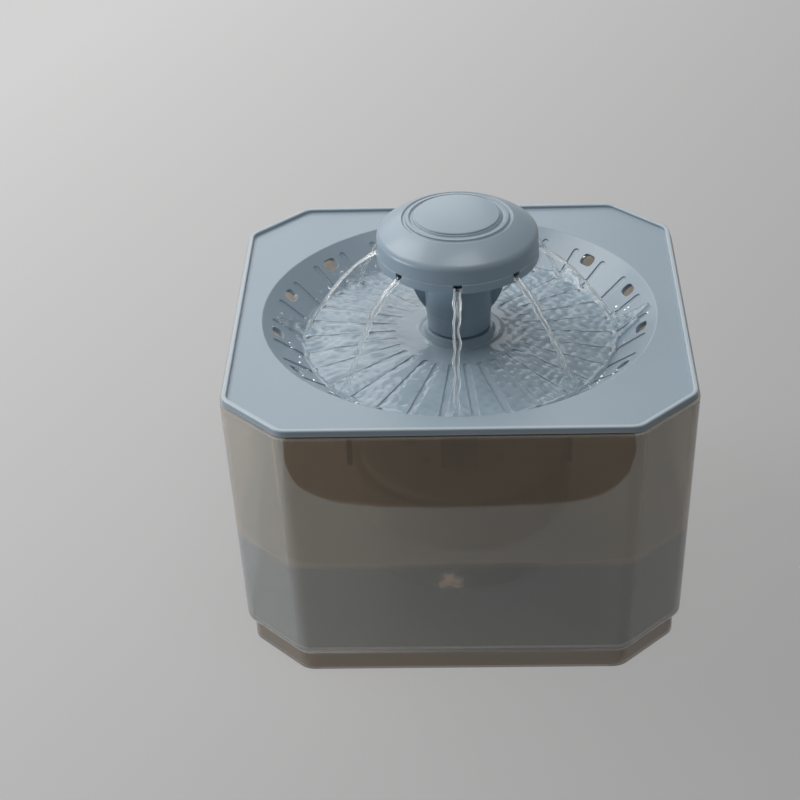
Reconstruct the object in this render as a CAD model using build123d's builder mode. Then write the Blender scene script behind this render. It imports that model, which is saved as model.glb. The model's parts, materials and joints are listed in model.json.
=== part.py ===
from build123d import *
import os
from math import atan2, cos, hypot, radians, sin, tan

# Pet water fountain, in millimetres. +Z is up, -Y is the front, and the origin is on the
# ground under the fountain's axis. A smoke-coloured tank carries a drip tray with a round
# dish. A pump in a filter basket lifts water through a riser into the spout, and it falls
# back into the dish through eight notches under the cap, and from there into the tank.

os.makedirs("parts", exist_ok=True)

# ---------------------------------------------------------------- driving dimensions

running_gap = 0.05  # radial, where something turns or slides on a round piece
slide_gap = 0.1  # where a piece pushes into another by hand
loose_gap = 0.3  # where pieces lift out past each other
finding_room = 0.01  # an edge is looked for this close to its place

# Tank: a square with its corners cut, slightly drafted, on a set-back foot
tank_top_width = 192.0
tank_draft = 3.8  # how far each side leans out from the foot to the rim
tank_corner_cut = 25.1
tank_corner_round = 9.0
tank_wall = 2.4
tank_floor = 2.4
tank_height = 120.0
foot_height = 8.2
foot_inset = 2.7
foot_wall = 2.4
tank_bottom_round = 5.0
tank_inside_round = 3.0

# Tray: plate with a raised bead round its edge, and the dish sunk into it
tray_inset = 1.0  # the tank's rim stands out this far past the tray's edge
tray_thickness = 2.0
shadow_gap_height = 0.6  # between the tray's edge and the tank's rim
shadow_gap_depth = 0.7
bead_width = 2.0
bead_height = 1.5
bead_round = 0.6

dish_margin = 11.2  # from the tray's edge to the dish's rim
dish_wall_run = 17.3  # how far the wall comes in on its way down
dish_depth = 13.5
dish_wall = 2.0
floor_rise = 3.0  # the floor climbs this much from its edge to the collar
dish_rim_round = 1.0
dish_floor_round = 4.0

window_count = 15
window_width = 6.8
window_height = 5.6
window_round = 2.1
window_inset = 6.5  # from the dish's rim to the window's centre, seen from above
flute_width = 3.2
flute_depth = 0.7
flute_top_inset = 4.0  # from the dish's rim to the flute's end, seen from above
flute_inner_radius = 27.0

collar_rim = 3.2  # from the socket's bore to the collar's top edge
collar_flare = 2.1
collar_height = 3.7
socket_bore_radius = 11.1
socket_wall = 2.0
socket_depth = 17.2
nipple_length = 10.0
water_bore_radius = 3.6

# Locating ribs under the tray, one group on each side
rib_thickness = 2.0
rib_length = 5.0
rib_drop = 13.5
rib_offset = 43.0
rib_play = 0.5  # between a rib's foot and the tank's wall
pocket_width = 14.0
pocket_length = 6.0
pocket_wall = 2.0
pocket_drop = 15.5

# Spout: a hollow column with four fins under a notched plate
head_radius = 34.1
head_ledge = 0.3  # how far the head's rim stands out under the cap's edge
plate_above_tray = 27.0
plate_thickness = 1.8
rim_height = 3.8
rim_wall = 1.8
notch_count = 8
notch_width = 3.5
notch_sill = 0.6  # what is left under a notch
notch_reach = 5.0
column_seat = 2.2  # how far the column's foot reaches past the socket's bore
column_lower_flare = 0.5
column_upper_flare = 0.45
column_lower_height = 8.8
seam_step = 0.25
column_wall = 1.7
column_bore_lift = 2.4
column_foot_round = 1.6
plug_length = 14.6
plug_wall = 3.2
fin_count = 4
fin_depth = 5.4
fin_thickness = 1.8
fin_straight = 8.0
seal_radius = 0.75
seal_above_plug_end = 6.0

# Cap: a dome with two grooves round a raised button
cap_wall = 1.8
cap_side_height = 7.3
cap_shoulder_round = 3.4
cap_top_rise = 6.7
cap_top_bulge = 0.5  # how far the cap's sloping top stands over a straight cone
cap_button_radius = 17.9
cap_button_rise = 1.2
cap_button_crown = 1.3
cap_button_round = 0.6
groove_spacing = 3.1
groove_radius = 0.9
groove_land = 0.5  # between the button's edge and the inner groove
ring_step = 0.5  # the ring's inner edge stands this much above its outer edge
cap_skirt_wall = 1.4
cap_skirt_drop = 1.2

# Filter basket, its lid and the foam sleeve
basket_room = 4.3  # round the pump's corners
basket_wall = 1.6
basket_headroom = 1.8  # over the pump
basket_slot_count = 24
basket_slot_width = 3.0
basket_slot_margin = 7.0
cable_notch_width = 6.0
cable_notch_depth = 12.0
sleeve_thickness = 4.2
sleeve_below_lid = 2.4
lid_thickness = 2.4
lid_skirt_drop = 3.0
lid_skirt_wall = 1.6
lid_edge_round = 1.0
lid_hole_room = 1.35  # round the riser
lid_vent_count = 8
lid_vent_radius = 3.0
lid_vent_circle = 22.0

# Pump, with its shaft along Y. Depths are measured along Y from the fountain's axis.
motor_front = 6.0
motor_depth = 25.0
pump_wall = 1.6
pump_corner_round = 3.0
volute_radius = 15.0
volute_wall = 1.6
volute_reach = 15.0  # the volute stands this far in front of the motor
chamber_floor = 1.6
nozzle_wall = 1.4
nozzle_rise = 12.0
well_radius = 7.6
well_wall = 1.2
well_clearance = 6.0  # from the well's inner end to the motor's back
back_cover_thickness = 2.0
back_cover_lip = 1.4

suction_cup_height = 4.0
suction_cup_radius = 5.0
suction_cup_edge = 0.7
suction_hollow = 1.0
suction_neck_radius = 1.8
suction_stem_floor = 0.4  # what is left of the pump's wall over a cup's stem
suction_spacing_x = 22.0
suction_spacing_y = 15.0

cover_side_reach = 0.5  # past the volute at each side
cover_top_drop = 0.5  # short of the volute at top and bottom
cover_depth = 10.0
cover_wall = 1.5
cover_round = 3.0
grille_count = 7
grille_slot_width = 1.8
grille_slot_height = 12.0
grille_pitch = 3.4
grille_lift = 4.0
track_width = 16.0
track_height = 2.4
track_drop = 8.5
knob_width = 8.0
knob_height = 6.0
knob_thickness = 1.2
knob_neck_width = 4.0
slider_gap = 0.2
chamber_plate_thickness = 2.0
intake_radius = 9.0
spoke_width = 2.0
spoke_count = 3
bush_radius = 2.4
bush_length = 3.0
bush_boss_wall = 1.4

shaft_radius = 1.0
shaft_end_play = 0.5
magnet_clearance = 1.0
rotor_end_play = 1.0
hub_radius = 3.6
hub_clearance = 3.7  # from the front bush to the hub
vane_count = 6
vane_clearance = 2.6
vane_thickness = 1.2
vane_disc_thickness = 1.2
vane_disc_gap = 0.9  # from the chamber's floor to the vanes' disc
rotor_bore_wall = 1.4

stator_arm_width = 5.0
stator_length = 12.0
stator_gap = 0.2
stator_side_room = 1.4
stator_arm_rise = 9.0  # above the shaft
yoke_height = 4.4
rest_width = 3.0
coil_wrap = 2.0
coil_end_gap = 1.0
coil_front_room = 0.4
coil_top_room = 0.6
coil_floor_room = 1.6
coil_round = 1.5
gland_radius = 3.6
gland_neck_radius = 2.8
gland_length = 3.5
gland_above_shaft = 8.0
cord_radius = 1.9

# Riser, and the cord's way out of the tank
riser_wall = 1.6
riser_end_gap = 1.0
grommet_x = -34.0
grommet_width = 9.0
grommet_height = 8.0
grommet_lip = 1.2
grommet_proud = 0.4
grommet_round = 2.0

# ---------------------------------------------------------------- places worked out

tank_bottom_width = tank_top_width - 2 * tank_draft
tank_floor_top = foot_height + tank_floor
tray_width = tank_top_width - 2 * tray_inset
tray_corner_round = tank_corner_round - tray_inset
tray_bottom = tank_height
tray_top = tray_bottom + tray_thickness
tray_bead_top = tray_top + bead_height

dish_rim_radius = tray_width / 2 - dish_margin
dish_floor_radius = dish_rim_radius - dish_wall_run
dish_floor_z = tray_top - dish_depth
wall_slope = atan2(dish_depth, dish_wall_run)
collar_top_radius = socket_bore_radius + collar_rim
collar_base_radius = collar_top_radius + collar_flare
collar_base_z = dish_floor_z + floor_rise
collar_top_z = collar_base_z + collar_height
socket_floor_z = collar_top_z - socket_depth
socket_web_z = socket_floor_z - socket_wall
nipple_end_z = socket_web_z - nipple_length

plate_bottom = tray_top + plate_above_tray
plate_top = plate_bottom + plate_thickness
head_split_z = plate_bottom + rim_height
plug_radius = socket_bore_radius - slide_gap
plug_bore_radius = plug_radius - plug_wall
column_foot_radius = socket_bore_radius + column_seat
column_bore_radius = column_foot_radius - column_wall
column_seam_radius = column_foot_radius + column_lower_flare
column_top_radius = column_seam_radius + seam_step + column_upper_flare
fin_reach = column_top_radius + fin_depth
plug_end_z = collar_top_z - plug_length
seal_z = plug_end_z + seal_above_plug_end
seal_ring_radius = plug_radius - seal_radius
seam_z = collar_top_z + column_lower_height

# the motor box is as wide as the stator's arms, and as high as the coil and the rotor's well need
yoke_lift = coil_wrap + coil_floor_room
stator_setback = coil_wrap + coil_front_room
arm_inside = well_radius + well_wall + stator_gap
arm_outside = arm_inside + stator_arm_width
pump_width = 2 * (arm_outside + stator_side_room + pump_wall)
yoke_top_lift = pump_wall + yoke_lift + yoke_height
pump_shaft_height = yoke_top_lift + coil_wrap + coil_top_room + well_wall + well_radius
pump_height = pump_shaft_height + volute_radius
coil_length = 2 * (arm_inside - coil_end_gap)
suction_stem_length = pump_wall - suction_stem_floor
motor_back = motor_front + motor_depth
cover_back = motor_back + back_cover_thickness

basket_radius = hypot(pump_width / 2, cover_back) + basket_room + basket_wall
basket_height = basket_wall + suction_cup_height + pump_height + basket_headroom
basket_floor_z = tank_floor_top + basket_wall
basket_top_z = tank_floor_top + basket_height
pump_base_z = basket_floor_z + suction_cup_height
pump_top_z = pump_base_z + pump_height
shaft_z = pump_base_z + pump_shaft_height
nozzle_radius = water_bore_radius + nozzle_wall
nozzle_top_z = pump_top_z + nozzle_rise
riser_bore = nozzle_radius + running_gap
riser_top_z = socket_web_z - riser_end_gap
riser_bottom_z = pump_top_z + riser_end_gap
nipple_radius = riser_bore - slide_gap
sleeve_height = basket_height - lid_skirt_drop - sleeve_below_lid
lid_hole_radius = riser_bore + riser_wall + lid_hole_room

volute_front = motor_front - volute_reach
chamber_back = motor_front - chamber_floor
chamber_radius = volute_radius - volute_wall
vane_radius = chamber_radius - vane_clearance
magnet_radius = well_radius - magnet_clearance
cover_width = 2 * (volute_radius + cover_side_reach)
cover_height = 2 * (volute_radius - cover_top_drop)
well_end = motor_back - well_clearance
rear_bush_front = well_end - bush_length
front_bush_front = volute_front
cover_front = volute_front - cover_depth
shaft_front = front_bush_front + shaft_end_play
shaft_back = well_end - shaft_end_play
bush_boss_radius = bush_radius + bush_boss_wall
magnet_back = rear_bush_front - rotor_end_play
magnet_front = chamber_back - vane_disc_gap
magnet_length = magnet_back - magnet_front
hub_front = front_bush_front + bush_length + hub_clearance
hub_length = magnet_front - hub_front


def at_depth(y):
    """The plane across the pump's shaft at a depth: it faces the front, with its x to the right."""
    return Plane(origin=(0, y, shaft_z), x_dir=(1, 0, 0), z_dir=(0, -1, 0))


def radial_plane(angle):
    """The upright plane through the fountain's axis at an angle, with its x pointing outwards."""
    turn = radians(angle)
    return Plane(origin=(0, 0, 0), x_dir=(cos(turn), sin(turn), 0), z_dir=(sin(turn), -cos(turn), 0))


def cut_square(width, cut, rounding, height):
    """A square with its corners cut off and all eight corners rounded, at a height."""
    half = width / 2
    straight = half - cut
    corners = [
        (half, -straight),
        (half, straight),
        (straight, half),
        (-straight, half),
        (-half, straight),
        (-half, -straight),
        (-straight, -half),
        (straight, -half),
    ]
    with BuildSketch(Plane.XY.offset(height)) as outline:
        Polygon(*corners, align=None)
        fillet(outline.vertices(), rounding)
    return outline.sketch


def inner_cut(cut, inset):
    """The corner cut of a cut square that lies evenly inside another."""
    return cut - inset * (1 - tan(radians(22.5)))


def save(piece, name):
    """Labels a finished piece and writes it under its node's name."""
    piece.part.label = name
    export_step(piece.part, f"parts/{name}.step")
    print(name, "written")


# ---------------------------------------------------------------- tank


def tank_width_at(height):
    """The tank's outer width at a height: its sides lean out evenly from foot to rim."""
    share = (height - foot_height) / (tank_height - foot_height)
    return tank_bottom_width + share * (tank_top_width - tank_bottom_width)


foot_width = tank_bottom_width - 2 * foot_inset
tray_corner_cut = inner_cut(tank_corner_cut, tray_inset)
inside_cut = inner_cut(tank_corner_cut, tank_wall)
inside_round = tank_corner_round - tank_wall
foot_hollow_cut = inner_cut(tank_corner_cut, foot_wall)
grommet_z = tank_height - grommet_height / 2
grommet_side = Plane(origin=(grommet_x, 0, grommet_z), x_dir=(1, 0, 0), z_dir=(0, -1, 0))
wall_outside = tank_top_width / 2
flange_foot_width = tank_width_at(tank_height - grommet_height - grommet_lip)
wall_inside = min(tank_top_width, flange_foot_width) / 2 - tank_wall

with BuildPart() as tank_hollow:
    low_inside = tank_width_at(tank_floor_top) - 2 * tank_wall
    loft(
        [
            cut_square(low_inside, inside_cut, inside_round, tank_floor_top),
            cut_square(tank_top_width - 2 * tank_wall, inside_cut, inside_round, tank_height),
        ],
        ruled=True,
    )
    fillet(tank_hollow.edges().group_by(Axis.Z)[0], tank_inside_round)

with BuildPart() as tank:
    loft(
        [
            cut_square(tank_bottom_width, tank_corner_cut, tank_corner_round, foot_height),
            cut_square(tank_top_width, tank_corner_cut, tank_corner_round, tank_height),
        ],
        ruled=True,
    )
    fillet(tank.edges().group_by(Axis.Z)[0], tank_bottom_round)
    # the foot is a skirt that runs up into the rounded bottom
    extrude(
        cut_square(foot_width, inner_cut(tank_corner_cut, foot_inset), tank_corner_round, 0),
        amount=foot_height + tank_floor / 2,
    )
    extrude(
        cut_square(foot_width - 2 * foot_wall, foot_hollow_cut, inside_round, 0),
        amount=foot_height,
        mode=Mode.SUBTRACT,
    )
    add(tank_hollow.part, mode=Mode.SUBTRACT)
    with BuildSketch(grommet_side.offset(-wall_outside - loose_gap)) as cord_notch:
        with Locations((0, grommet_round / 2)):
            Rectangle(grommet_width, grommet_height + grommet_round)
        fillet(cord_notch.vertices().group_by(Axis.Z)[0], grommet_round)
    extrude(amount=2 * tank_wall, mode=Mode.SUBTRACT)
save(tank, "tank")

# The rubber plug in the cord's notch has a flange inside and a hole for the cord
with BuildPart() as cord_grommet:
    with BuildSketch(grommet_side.offset(-wall_outside - grommet_proud)) as plug_outline:
        with Locations((0, -slide_gap / 2)):
            Rectangle(grommet_width - 2 * slide_gap, grommet_height - slide_gap)
        fillet(plug_outline.vertices().group_by(Axis.Z)[0], grommet_round - slide_gap)
    extrude(amount=wall_outside + grommet_proud - wall_inside + slide_gap)
    with BuildSketch(grommet_side.offset(-wall_inside + slide_gap)) as flange_outline:
        with Locations((0, -(grommet_lip + slide_gap) / 2)):
            Rectangle(grommet_width + 2 * grommet_lip, grommet_height + grommet_lip - slide_gap)
        fillet(flange_outline.vertices().group_by(Axis.Z)[0], grommet_round)
    extrude(amount=grommet_lip)
    with BuildSketch(grommet_side):
        Circle(cord_radius)
    extrude(amount=-tank_top_width, mode=Mode.SUBTRACT)
save(cord_grommet, "cord_grommet")

# ---------------------------------------------------------------- tray with its dish


def wall_underside(height):
    """The radius of the dish wall's outer face at a height."""
    shift = dish_wall / sin(wall_slope)
    return dish_rim_radius + shift - (tray_top - height) / tan(wall_slope)


dish_underside_z = dish_floor_z - dish_wall
collar_underside_z = collar_base_z - dish_wall
mid_plate_z = tray_bottom + tray_thickness / 2
rib_reach = tank_width_at(tank_height - pocket_drop) / 2 - tank_wall - rib_play
socket_radius = socket_bore_radius + socket_wall
above_tray = tray_bead_top + bead_height

dish_surface = [
    (collar_base_radius, collar_base_z),
    (dish_floor_radius, dish_floor_z),
    (dish_rim_radius, tray_top),
]
dish_block = [
    (0, mid_plate_z),
    (wall_underside(mid_plate_z), mid_plate_z),
    (wall_underside(dish_underside_z), dish_underside_z),
    (socket_radius, collar_underside_z),
    (socket_radius, socket_web_z),
    (nipple_radius, socket_web_z),
    (nipple_radius, nipple_end_z),
    (0, nipple_end_z),
]
dish_space = [
    (0, nipple_end_z - nipple_length),
    (water_bore_radius, nipple_end_z - nipple_length),
    (water_bore_radius, socket_floor_z),
    (socket_bore_radius, socket_floor_z),
    (socket_bore_radius, collar_top_z),
    (collar_top_radius, collar_top_z),
    *dish_surface,
    (dish_rim_radius, above_tray),
    (0, above_tray),
]

# A groove's cutter is the dish's surface thickened downwards, kept only under the slots
flute_radius = dish_rim_radius - flute_top_inset
flute_step = 360 / (2 * window_count)
flute_length = flute_radius - flute_inner_radius
flute_middle = (flute_radius + flute_inner_radius) / 2
flute_band = [
    *dish_surface,
    (dish_rim_radius, tray_top - flute_depth),
    (dish_floor_radius, dish_floor_z - flute_depth),
    (collar_base_radius, collar_base_z - flute_depth),
]
with BuildPart() as flutes:
    with BuildSketch(Plane.XZ):
        Polygon(*flute_band, align=None)
    revolve(axis=Axis.Z)
    with BuildSketch(Plane.XY.offset(dish_floor_z - dish_depth)):
        with PolarLocations(flute_middle, 2 * window_count, start_angle=90 + flute_step / 2):
            SlotOverall(flute_length, flute_width)
    extrude(amount=3 * dish_depth, mode=Mode.INTERSECT)

window_radius = dish_rim_radius - window_inset
window_z = tray_top - window_inset * tan(wall_slope)
window_planes = []
for turn in range(window_count):
    angle = radians(90 + turn * 360 / window_count)
    window_planes.append(
        Plane(
            origin=(window_radius * cos(angle), window_radius * sin(angle), window_z),
            x_dir=(-sin(angle), cos(angle), 0),
            z_dir=(-sin(wall_slope) * cos(angle), -sin(wall_slope) * sin(angle), cos(wall_slope)),
        )
    )

with BuildPart() as tray:
    extrude(
        cut_square(tray_width, tray_corner_cut, tray_corner_round, tray_bottom),
        amount=tray_thickness + bead_height,
    )
    extrude(
        cut_square(
            tray_width - 2 * bead_width,
            inner_cut(tray_corner_cut, bead_width),
            tray_corner_round - bead_width,
            tray_top,
        ),
        amount=bead_height,
        mode=Mode.SUBTRACT,
    )
    fillet(tray.faces().sort_by(Axis.Z)[-1].edges(), bead_round)
    # the shadow gap under the edge
    with BuildSketch(Plane.XY.offset(tray_bottom)):
        add(cut_square(tray_width + bead_width, tray_corner_cut, tray_corner_round, tray_bottom))
        add(
            cut_square(
                tray_width - 2 * shadow_gap_depth,
                inner_cut(tray_corner_cut, shadow_gap_depth),
                tray_corner_round - shadow_gap_depth,
                tray_bottom,
            ),
            mode=Mode.SUBTRACT,
        )
    extrude(amount=shadow_gap_height, mode=Mode.SUBTRACT)
    with BuildSketch(Plane.XZ):
        Polygon(*dish_block, align=None)
    revolve(axis=Axis.Z)
    with BuildSketch(Plane.XZ) as space:
        Polygon(*dish_space, align=None)
        fillet(space.vertices().sort_by_distance((dish_floor_radius, dish_floor_z))[0], dish_floor_round)
    revolve(axis=Axis.Z, mode=Mode.SUBTRACT)
    top_edges = tray.edges().filter_by_position(Axis.Z, tray_top - finding_room, tray_top + finding_room)
    round_edges = top_edges.filter_by(GeomType.CIRCLE)
    dish_rim = round_edges.filter_by(lambda edge: abs(edge.radius - dish_rim_radius) < finding_room)
    fillet(dish_rim, dish_rim_round)
    with BuildSketch(*window_planes):
        RectangleRounded(window_width, window_height, window_round)
    extrude(amount=2 * dish_wall, both=True, mode=Mode.SUBTRACT)
    add(flutes.part, mode=Mode.SUBTRACT)
    # the ribs and the pocket on each side
    with BuildSketch(Plane.XY.offset(tray_bottom)):
        with PolarLocations(rib_reach - rib_length / 2, 4):
            with Locations((0, -rib_offset), (0, rib_offset)):
                Rectangle(rib_length, rib_thickness)
    extrude(amount=-rib_drop)
    with BuildSketch(Plane.XY.offset(tray_bottom)):
        with PolarLocations(rib_reach - pocket_length / 2, 4):
            Rectangle(pocket_length, pocket_width)
        with PolarLocations(rib_reach - (pocket_length + pocket_wall) / 2, 4):
            Rectangle(pocket_length - pocket_wall, pocket_width - 2 * pocket_wall, mode=Mode.SUBTRACT)
    extrude(amount=-pocket_drop)
save(tray, "tray")

with BuildPart() as riser_tube:
    with BuildSketch(Plane.XY.offset(riser_bottom_z)):
        Circle(riser_bore + riser_wall)
        Circle(riser_bore, mode=Mode.SUBTRACT)
    extrude(amount=riser_top_z - riser_bottom_z)
save(riser_tube, "riser_tube")

# ---------------------------------------------------------------- spout and cap

rim_inside = head_radius - rim_wall
groove_bottom = seal_ring_radius - seal_radius - running_gap
groove_half = seal_radius + running_gap
spout_profile = [
    (plug_bore_radius, plug_end_z),
    (plug_radius, plug_end_z),
    (plug_radius, seal_z - groove_half),
    (groove_bottom, seal_z - groove_half),
    (groove_bottom, seal_z + groove_half),
    (plug_radius, seal_z + groove_half),
    (plug_radius, collar_top_z),
    (column_foot_radius, collar_top_z),
    (column_seam_radius, seam_z),
    (column_seam_radius + seam_step, seam_z),
    (column_top_radius, plate_bottom),
    (head_radius, plate_bottom),
    (head_radius, head_split_z),
    (rim_inside, head_split_z),
    (rim_inside, plate_top),
    (column_bore_radius, plate_top),
    (column_bore_radius, collar_top_z + column_bore_lift),
    (plug_bore_radius, collar_top_z + column_bore_lift),
]
with BuildPart() as spout:
    with BuildSketch(Plane.XZ) as column:
        Polygon(*spout_profile, align=None)
        foot_corner = column.vertices().sort_by_distance((column_foot_radius, collar_top_z))[0]
        fillet(foot_corner, column_foot_round)
    revolve(axis=Axis.Z)
    fin_planes = [radial_plane(turn * 360 / fin_count) for turn in range(fin_count)]
    fin_root = (column_bore_radius + column_top_radius) / 2
    fin_bend_z = plate_bottom - fin_straight
    with BuildSketch(*fin_planes):
        with BuildLine():
            Polyline(
                (fin_root, seam_z),
                (fin_root, plate_top),
                (fin_reach, plate_top),
                (fin_reach, fin_bend_z),
            )
            foot_point = (column_seam_radius + seam_step, seam_z)
            TangentArc((fin_reach, fin_bend_z), foot_point, tangent=(0, -1))
            Line(foot_point, (fin_root, seam_z))
        make_face()
    extrude(amount=fin_thickness / 2, both=True)
    with BuildSketch(Plane.XY.offset(plate_bottom + notch_sill)):
        with PolarLocations(head_radius - notch_reach / 2 + slide_gap, notch_count):
            Rectangle(notch_reach, notch_width)
    extrude(amount=rim_height, mode=Mode.SUBTRACT)
save(spout, "spout")

with BuildPart() as spout_seal:
    with BuildSketch(Plane.XZ):
        with Locations((seal_ring_radius, seal_z)):
            Circle(seal_radius)
    revolve(axis=Axis.Z)
save(spout_seal, "spout_seal")

cap_radius = head_radius - head_ledge
cap_side_z = head_split_z + cap_side_height
inner_groove_radius = cap_button_radius + groove_land + groove_radius
outer_groove_radius = inner_groove_radius + groove_spacing
cap_top_z = cap_side_z + cap_top_rise
ring_top_z = cap_top_z + ring_step
button_edge_z = cap_top_z + cap_button_rise
button_top_z = button_edge_z + cap_button_crown
skirt_radius = rim_inside - slide_gap
with BuildPart() as cap:
    with BuildSketch(Plane.XZ) as dome:
        with BuildLine():
            Polyline(
                (0, head_split_z - cap_skirt_drop),
                (skirt_radius, head_split_z - cap_skirt_drop),
                (skirt_radius, head_split_z),
                (cap_radius, head_split_z),
                (cap_radius, cap_side_z),
            )
            SagittaArc((cap_radius, cap_side_z), (outer_groove_radius, cap_top_z), -cap_top_bulge)
            Polyline(
                (outer_groove_radius, cap_top_z),
                (cap_button_radius, ring_top_z),
                (cap_button_radius, button_edge_z),
            )
            TangentArc((0, button_top_z), (cap_button_radius, button_edge_z), tangent=(1, 0))
            Line((0, button_top_z), (0, head_split_z - cap_skirt_drop))
        make_face()
        fillet(dome.vertices().sort_by_distance((cap_radius, cap_side_z))[0], cap_shoulder_round)
        fillet(dome.vertices().sort_by_distance((cap_button_radius, button_edge_z))[0], cap_button_round)
        with Locations((outer_groove_radius, cap_top_z), (inner_groove_radius, ring_top_z)):
            Circle(groove_radius, mode=Mode.SUBTRACT)
    revolve(axis=Axis.Z)
    with BuildSketch(Plane.XZ):
        inside_side_z = cap_side_z - cap_wall / 2
        inside_top_z = cap_top_z - cap_wall - groove_radius
        Polygon(
            (0, head_split_z - 2 * cap_skirt_drop),
            (skirt_radius - cap_skirt_wall, head_split_z - 2 * cap_skirt_drop),
            (skirt_radius - cap_skirt_wall, inside_side_z),
            (outer_groove_radius, inside_top_z),
            (0, inside_top_z + cap_button_rise),
            align=None,
        )
    revolve(axis=Axis.Z, mode=Mode.SUBTRACT)
save(cap, "cap")

# ---------------------------------------------------------------- filter basket, lid and sleeve

slot_height = basket_height - 2 * basket_slot_margin
slot_z = tank_floor_top + basket_height / 2
lid_skirt_bore = basket_radius + loose_gap
lid_radius = lid_skirt_bore + lid_skirt_wall

with BuildPart() as filter_basket:
    with BuildSketch(Plane.XY.offset(tank_floor_top)):
        Circle(basket_radius)
    extrude(amount=basket_height)
    fillet(filter_basket.faces().sort_by(Axis.Z)[0].edges(), basket_wall / 2)
    with BuildSketch(Plane.XY.offset(basket_floor_z)):
        Circle(basket_radius - basket_wall)
    extrude(amount=basket_height, mode=Mode.SUBTRACT)
    # each slot's plane cuts the wall on both sides of the axis
    half_turns = range(basket_slot_count // 2)
    with BuildSketch(*[radial_plane(turn * 360 / basket_slot_count) for turn in half_turns]):
        with Locations((0, slot_z)):
            SlotOverall(slot_height, basket_slot_width, rotation=90)
    extrude(amount=basket_radius + basket_wall, both=True, mode=Mode.SUBTRACT)
    with BuildSketch(Plane.XY.offset(basket_top_z)):
        with Locations((0, basket_radius)):
            Rectangle(cable_notch_width, 4 * basket_wall)
    extrude(amount=-cable_notch_depth, mode=Mode.SUBTRACT)
save(filter_basket, "filter_basket")

with BuildPart() as foam_sleeve:
    with BuildSketch(Plane.XY.offset(tank_floor_top)):
        Circle(basket_radius + loose_gap + sleeve_thickness)
        Circle(basket_radius + loose_gap, mode=Mode.SUBTRACT)
    extrude(amount=sleeve_height)
save(foam_sleeve, "foam_sleeve")

with BuildPart() as basket_lid:
    with BuildSketch(Plane.XY.offset(basket_top_z - lid_skirt_drop)):
        Circle(lid_radius)
    extrude(amount=lid_skirt_drop + lid_thickness)
    fillet(basket_lid.faces().sort_by(Axis.Z)[-1].edges(), lid_edge_round)
    with BuildSketch(Plane.XY.offset(basket_top_z)):
        Circle(lid_skirt_bore)
    extrude(amount=-lid_skirt_drop, mode=Mode.SUBTRACT)
    with BuildSketch(Plane.XY.offset(basket_top_z)):
        Circle(lid_hole_radius)
        with PolarLocations(lid_vent_circle, lid_vent_count):
            Circle(lid_vent_radius)
    extrude(amount=lid_thickness, mode=Mode.SUBTRACT)
save(basket_lid, "basket_lid")

# ---------------------------------------------------------------- pump body

box_middle = pump_height / 2 - pump_shaft_height  # the motor box's middle above the shaft
cup_places = (suction_spacing_x, suction_spacing_y, 2, 2)
motor_middle = (motor_front + motor_back) / 2
base_plane = Plane(origin=(0, motor_middle, pump_base_z))
cavity_width = pump_width - 2 * pump_wall
cavity_height = pump_height - 2 * pump_wall
cavity_front = motor_front + pump_wall
cavity_floor_z = pump_base_z + pump_wall
stator_front = cavity_front + stator_setback
stator_back = stator_front + stator_length
yoke_z = cavity_floor_z + yoke_lift
bush_bore = bush_radius + running_gap

with BuildPart() as pump_housing:
    with BuildSketch(at_depth(motor_front)):
        with Locations((0, box_middle)):
            RectangleRounded(pump_width, pump_height, pump_corner_round)
    extrude(amount=-motor_depth)
    with BuildSketch(at_depth(volute_front)):
        Circle(volute_radius)
    extrude(amount=-volute_reach)
    with BuildSketch(Plane.XY.offset(shaft_z)):
        Circle(nozzle_radius)
    extrude(amount=nozzle_top_z - shaft_z)
    with BuildSketch(at_depth(cavity_front)):
        with Locations((0, box_middle)):
            RectangleRounded(cavity_width, cavity_height, pump_corner_round - pump_wall)
    extrude(amount=-motor_depth, mode=Mode.SUBTRACT)
    # the rotor's well stands back into the motor's cavity, with the rear bush's seat in its end
    with BuildSketch(at_depth(cavity_front - pump_wall / 2)):
        Circle(well_radius + well_wall)
    extrude(amount=cavity_front - pump_wall / 2 - well_end - well_wall)
    with BuildSketch(at_depth(volute_front)):
        Circle(chamber_radius)
    extrude(amount=volute_front - chamber_back, mode=Mode.SUBTRACT)
    with BuildSketch(at_depth(chamber_back)):
        Circle(well_radius)
    extrude(amount=chamber_back - well_end, mode=Mode.SUBTRACT)
    with BuildSketch(at_depth(rear_bush_front)):
        Circle(bush_boss_radius)
        Circle(bush_bore, mode=Mode.SUBTRACT)
    extrude(amount=-bush_length - well_wall / 2)
    with BuildSketch(Plane.XY.offset(shaft_z)):
        Circle(water_bore_radius)
    extrude(amount=nozzle_top_z - shaft_z, mode=Mode.SUBTRACT)
    # two rests carry the laminations
    with BuildSketch(Plane(origin=(0, (stator_front + stator_back) / 2, cavity_floor_z - pump_wall / 2))):
        with GridLocations(arm_inside + arm_outside, stator_length, 2, 1):
            Rectangle(rest_width, stator_length)
    extrude(amount=yoke_lift + pump_wall / 2)
    with BuildSketch(base_plane):
        with GridLocations(*cup_places):
            Circle(suction_neck_radius + running_gap)
    extrude(amount=suction_stem_length, mode=Mode.SUBTRACT)
save(pump_housing, "pump_housing")

neck_top_z = suction_cup_height + suction_stem_length
cup_profile = [
    (0, suction_hollow),
    (suction_cup_radius, 0),
    (suction_cup_radius, suction_cup_edge),
    (suction_neck_radius, suction_cup_height / 2),
    (suction_neck_radius, neck_top_z),
    (0, neck_top_z),
]
cup_corners = GridLocations(*cup_places).locations
with BuildPart() as suction_cups:
    for corner in cup_corners:
        foot = Plane(origin=(corner.position.X, motor_middle + corner.position.Y, basket_floor_z))
        with BuildSketch(Plane(origin=foot.origin, x_dir=(1, 0, 0), z_dir=(0, -1, 0))):
            Polygon(*cup_profile, align=None)
        revolve(axis=Axis(foot.origin, (0, 0, 1)))
save(suction_cups, "suction_cups")

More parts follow.
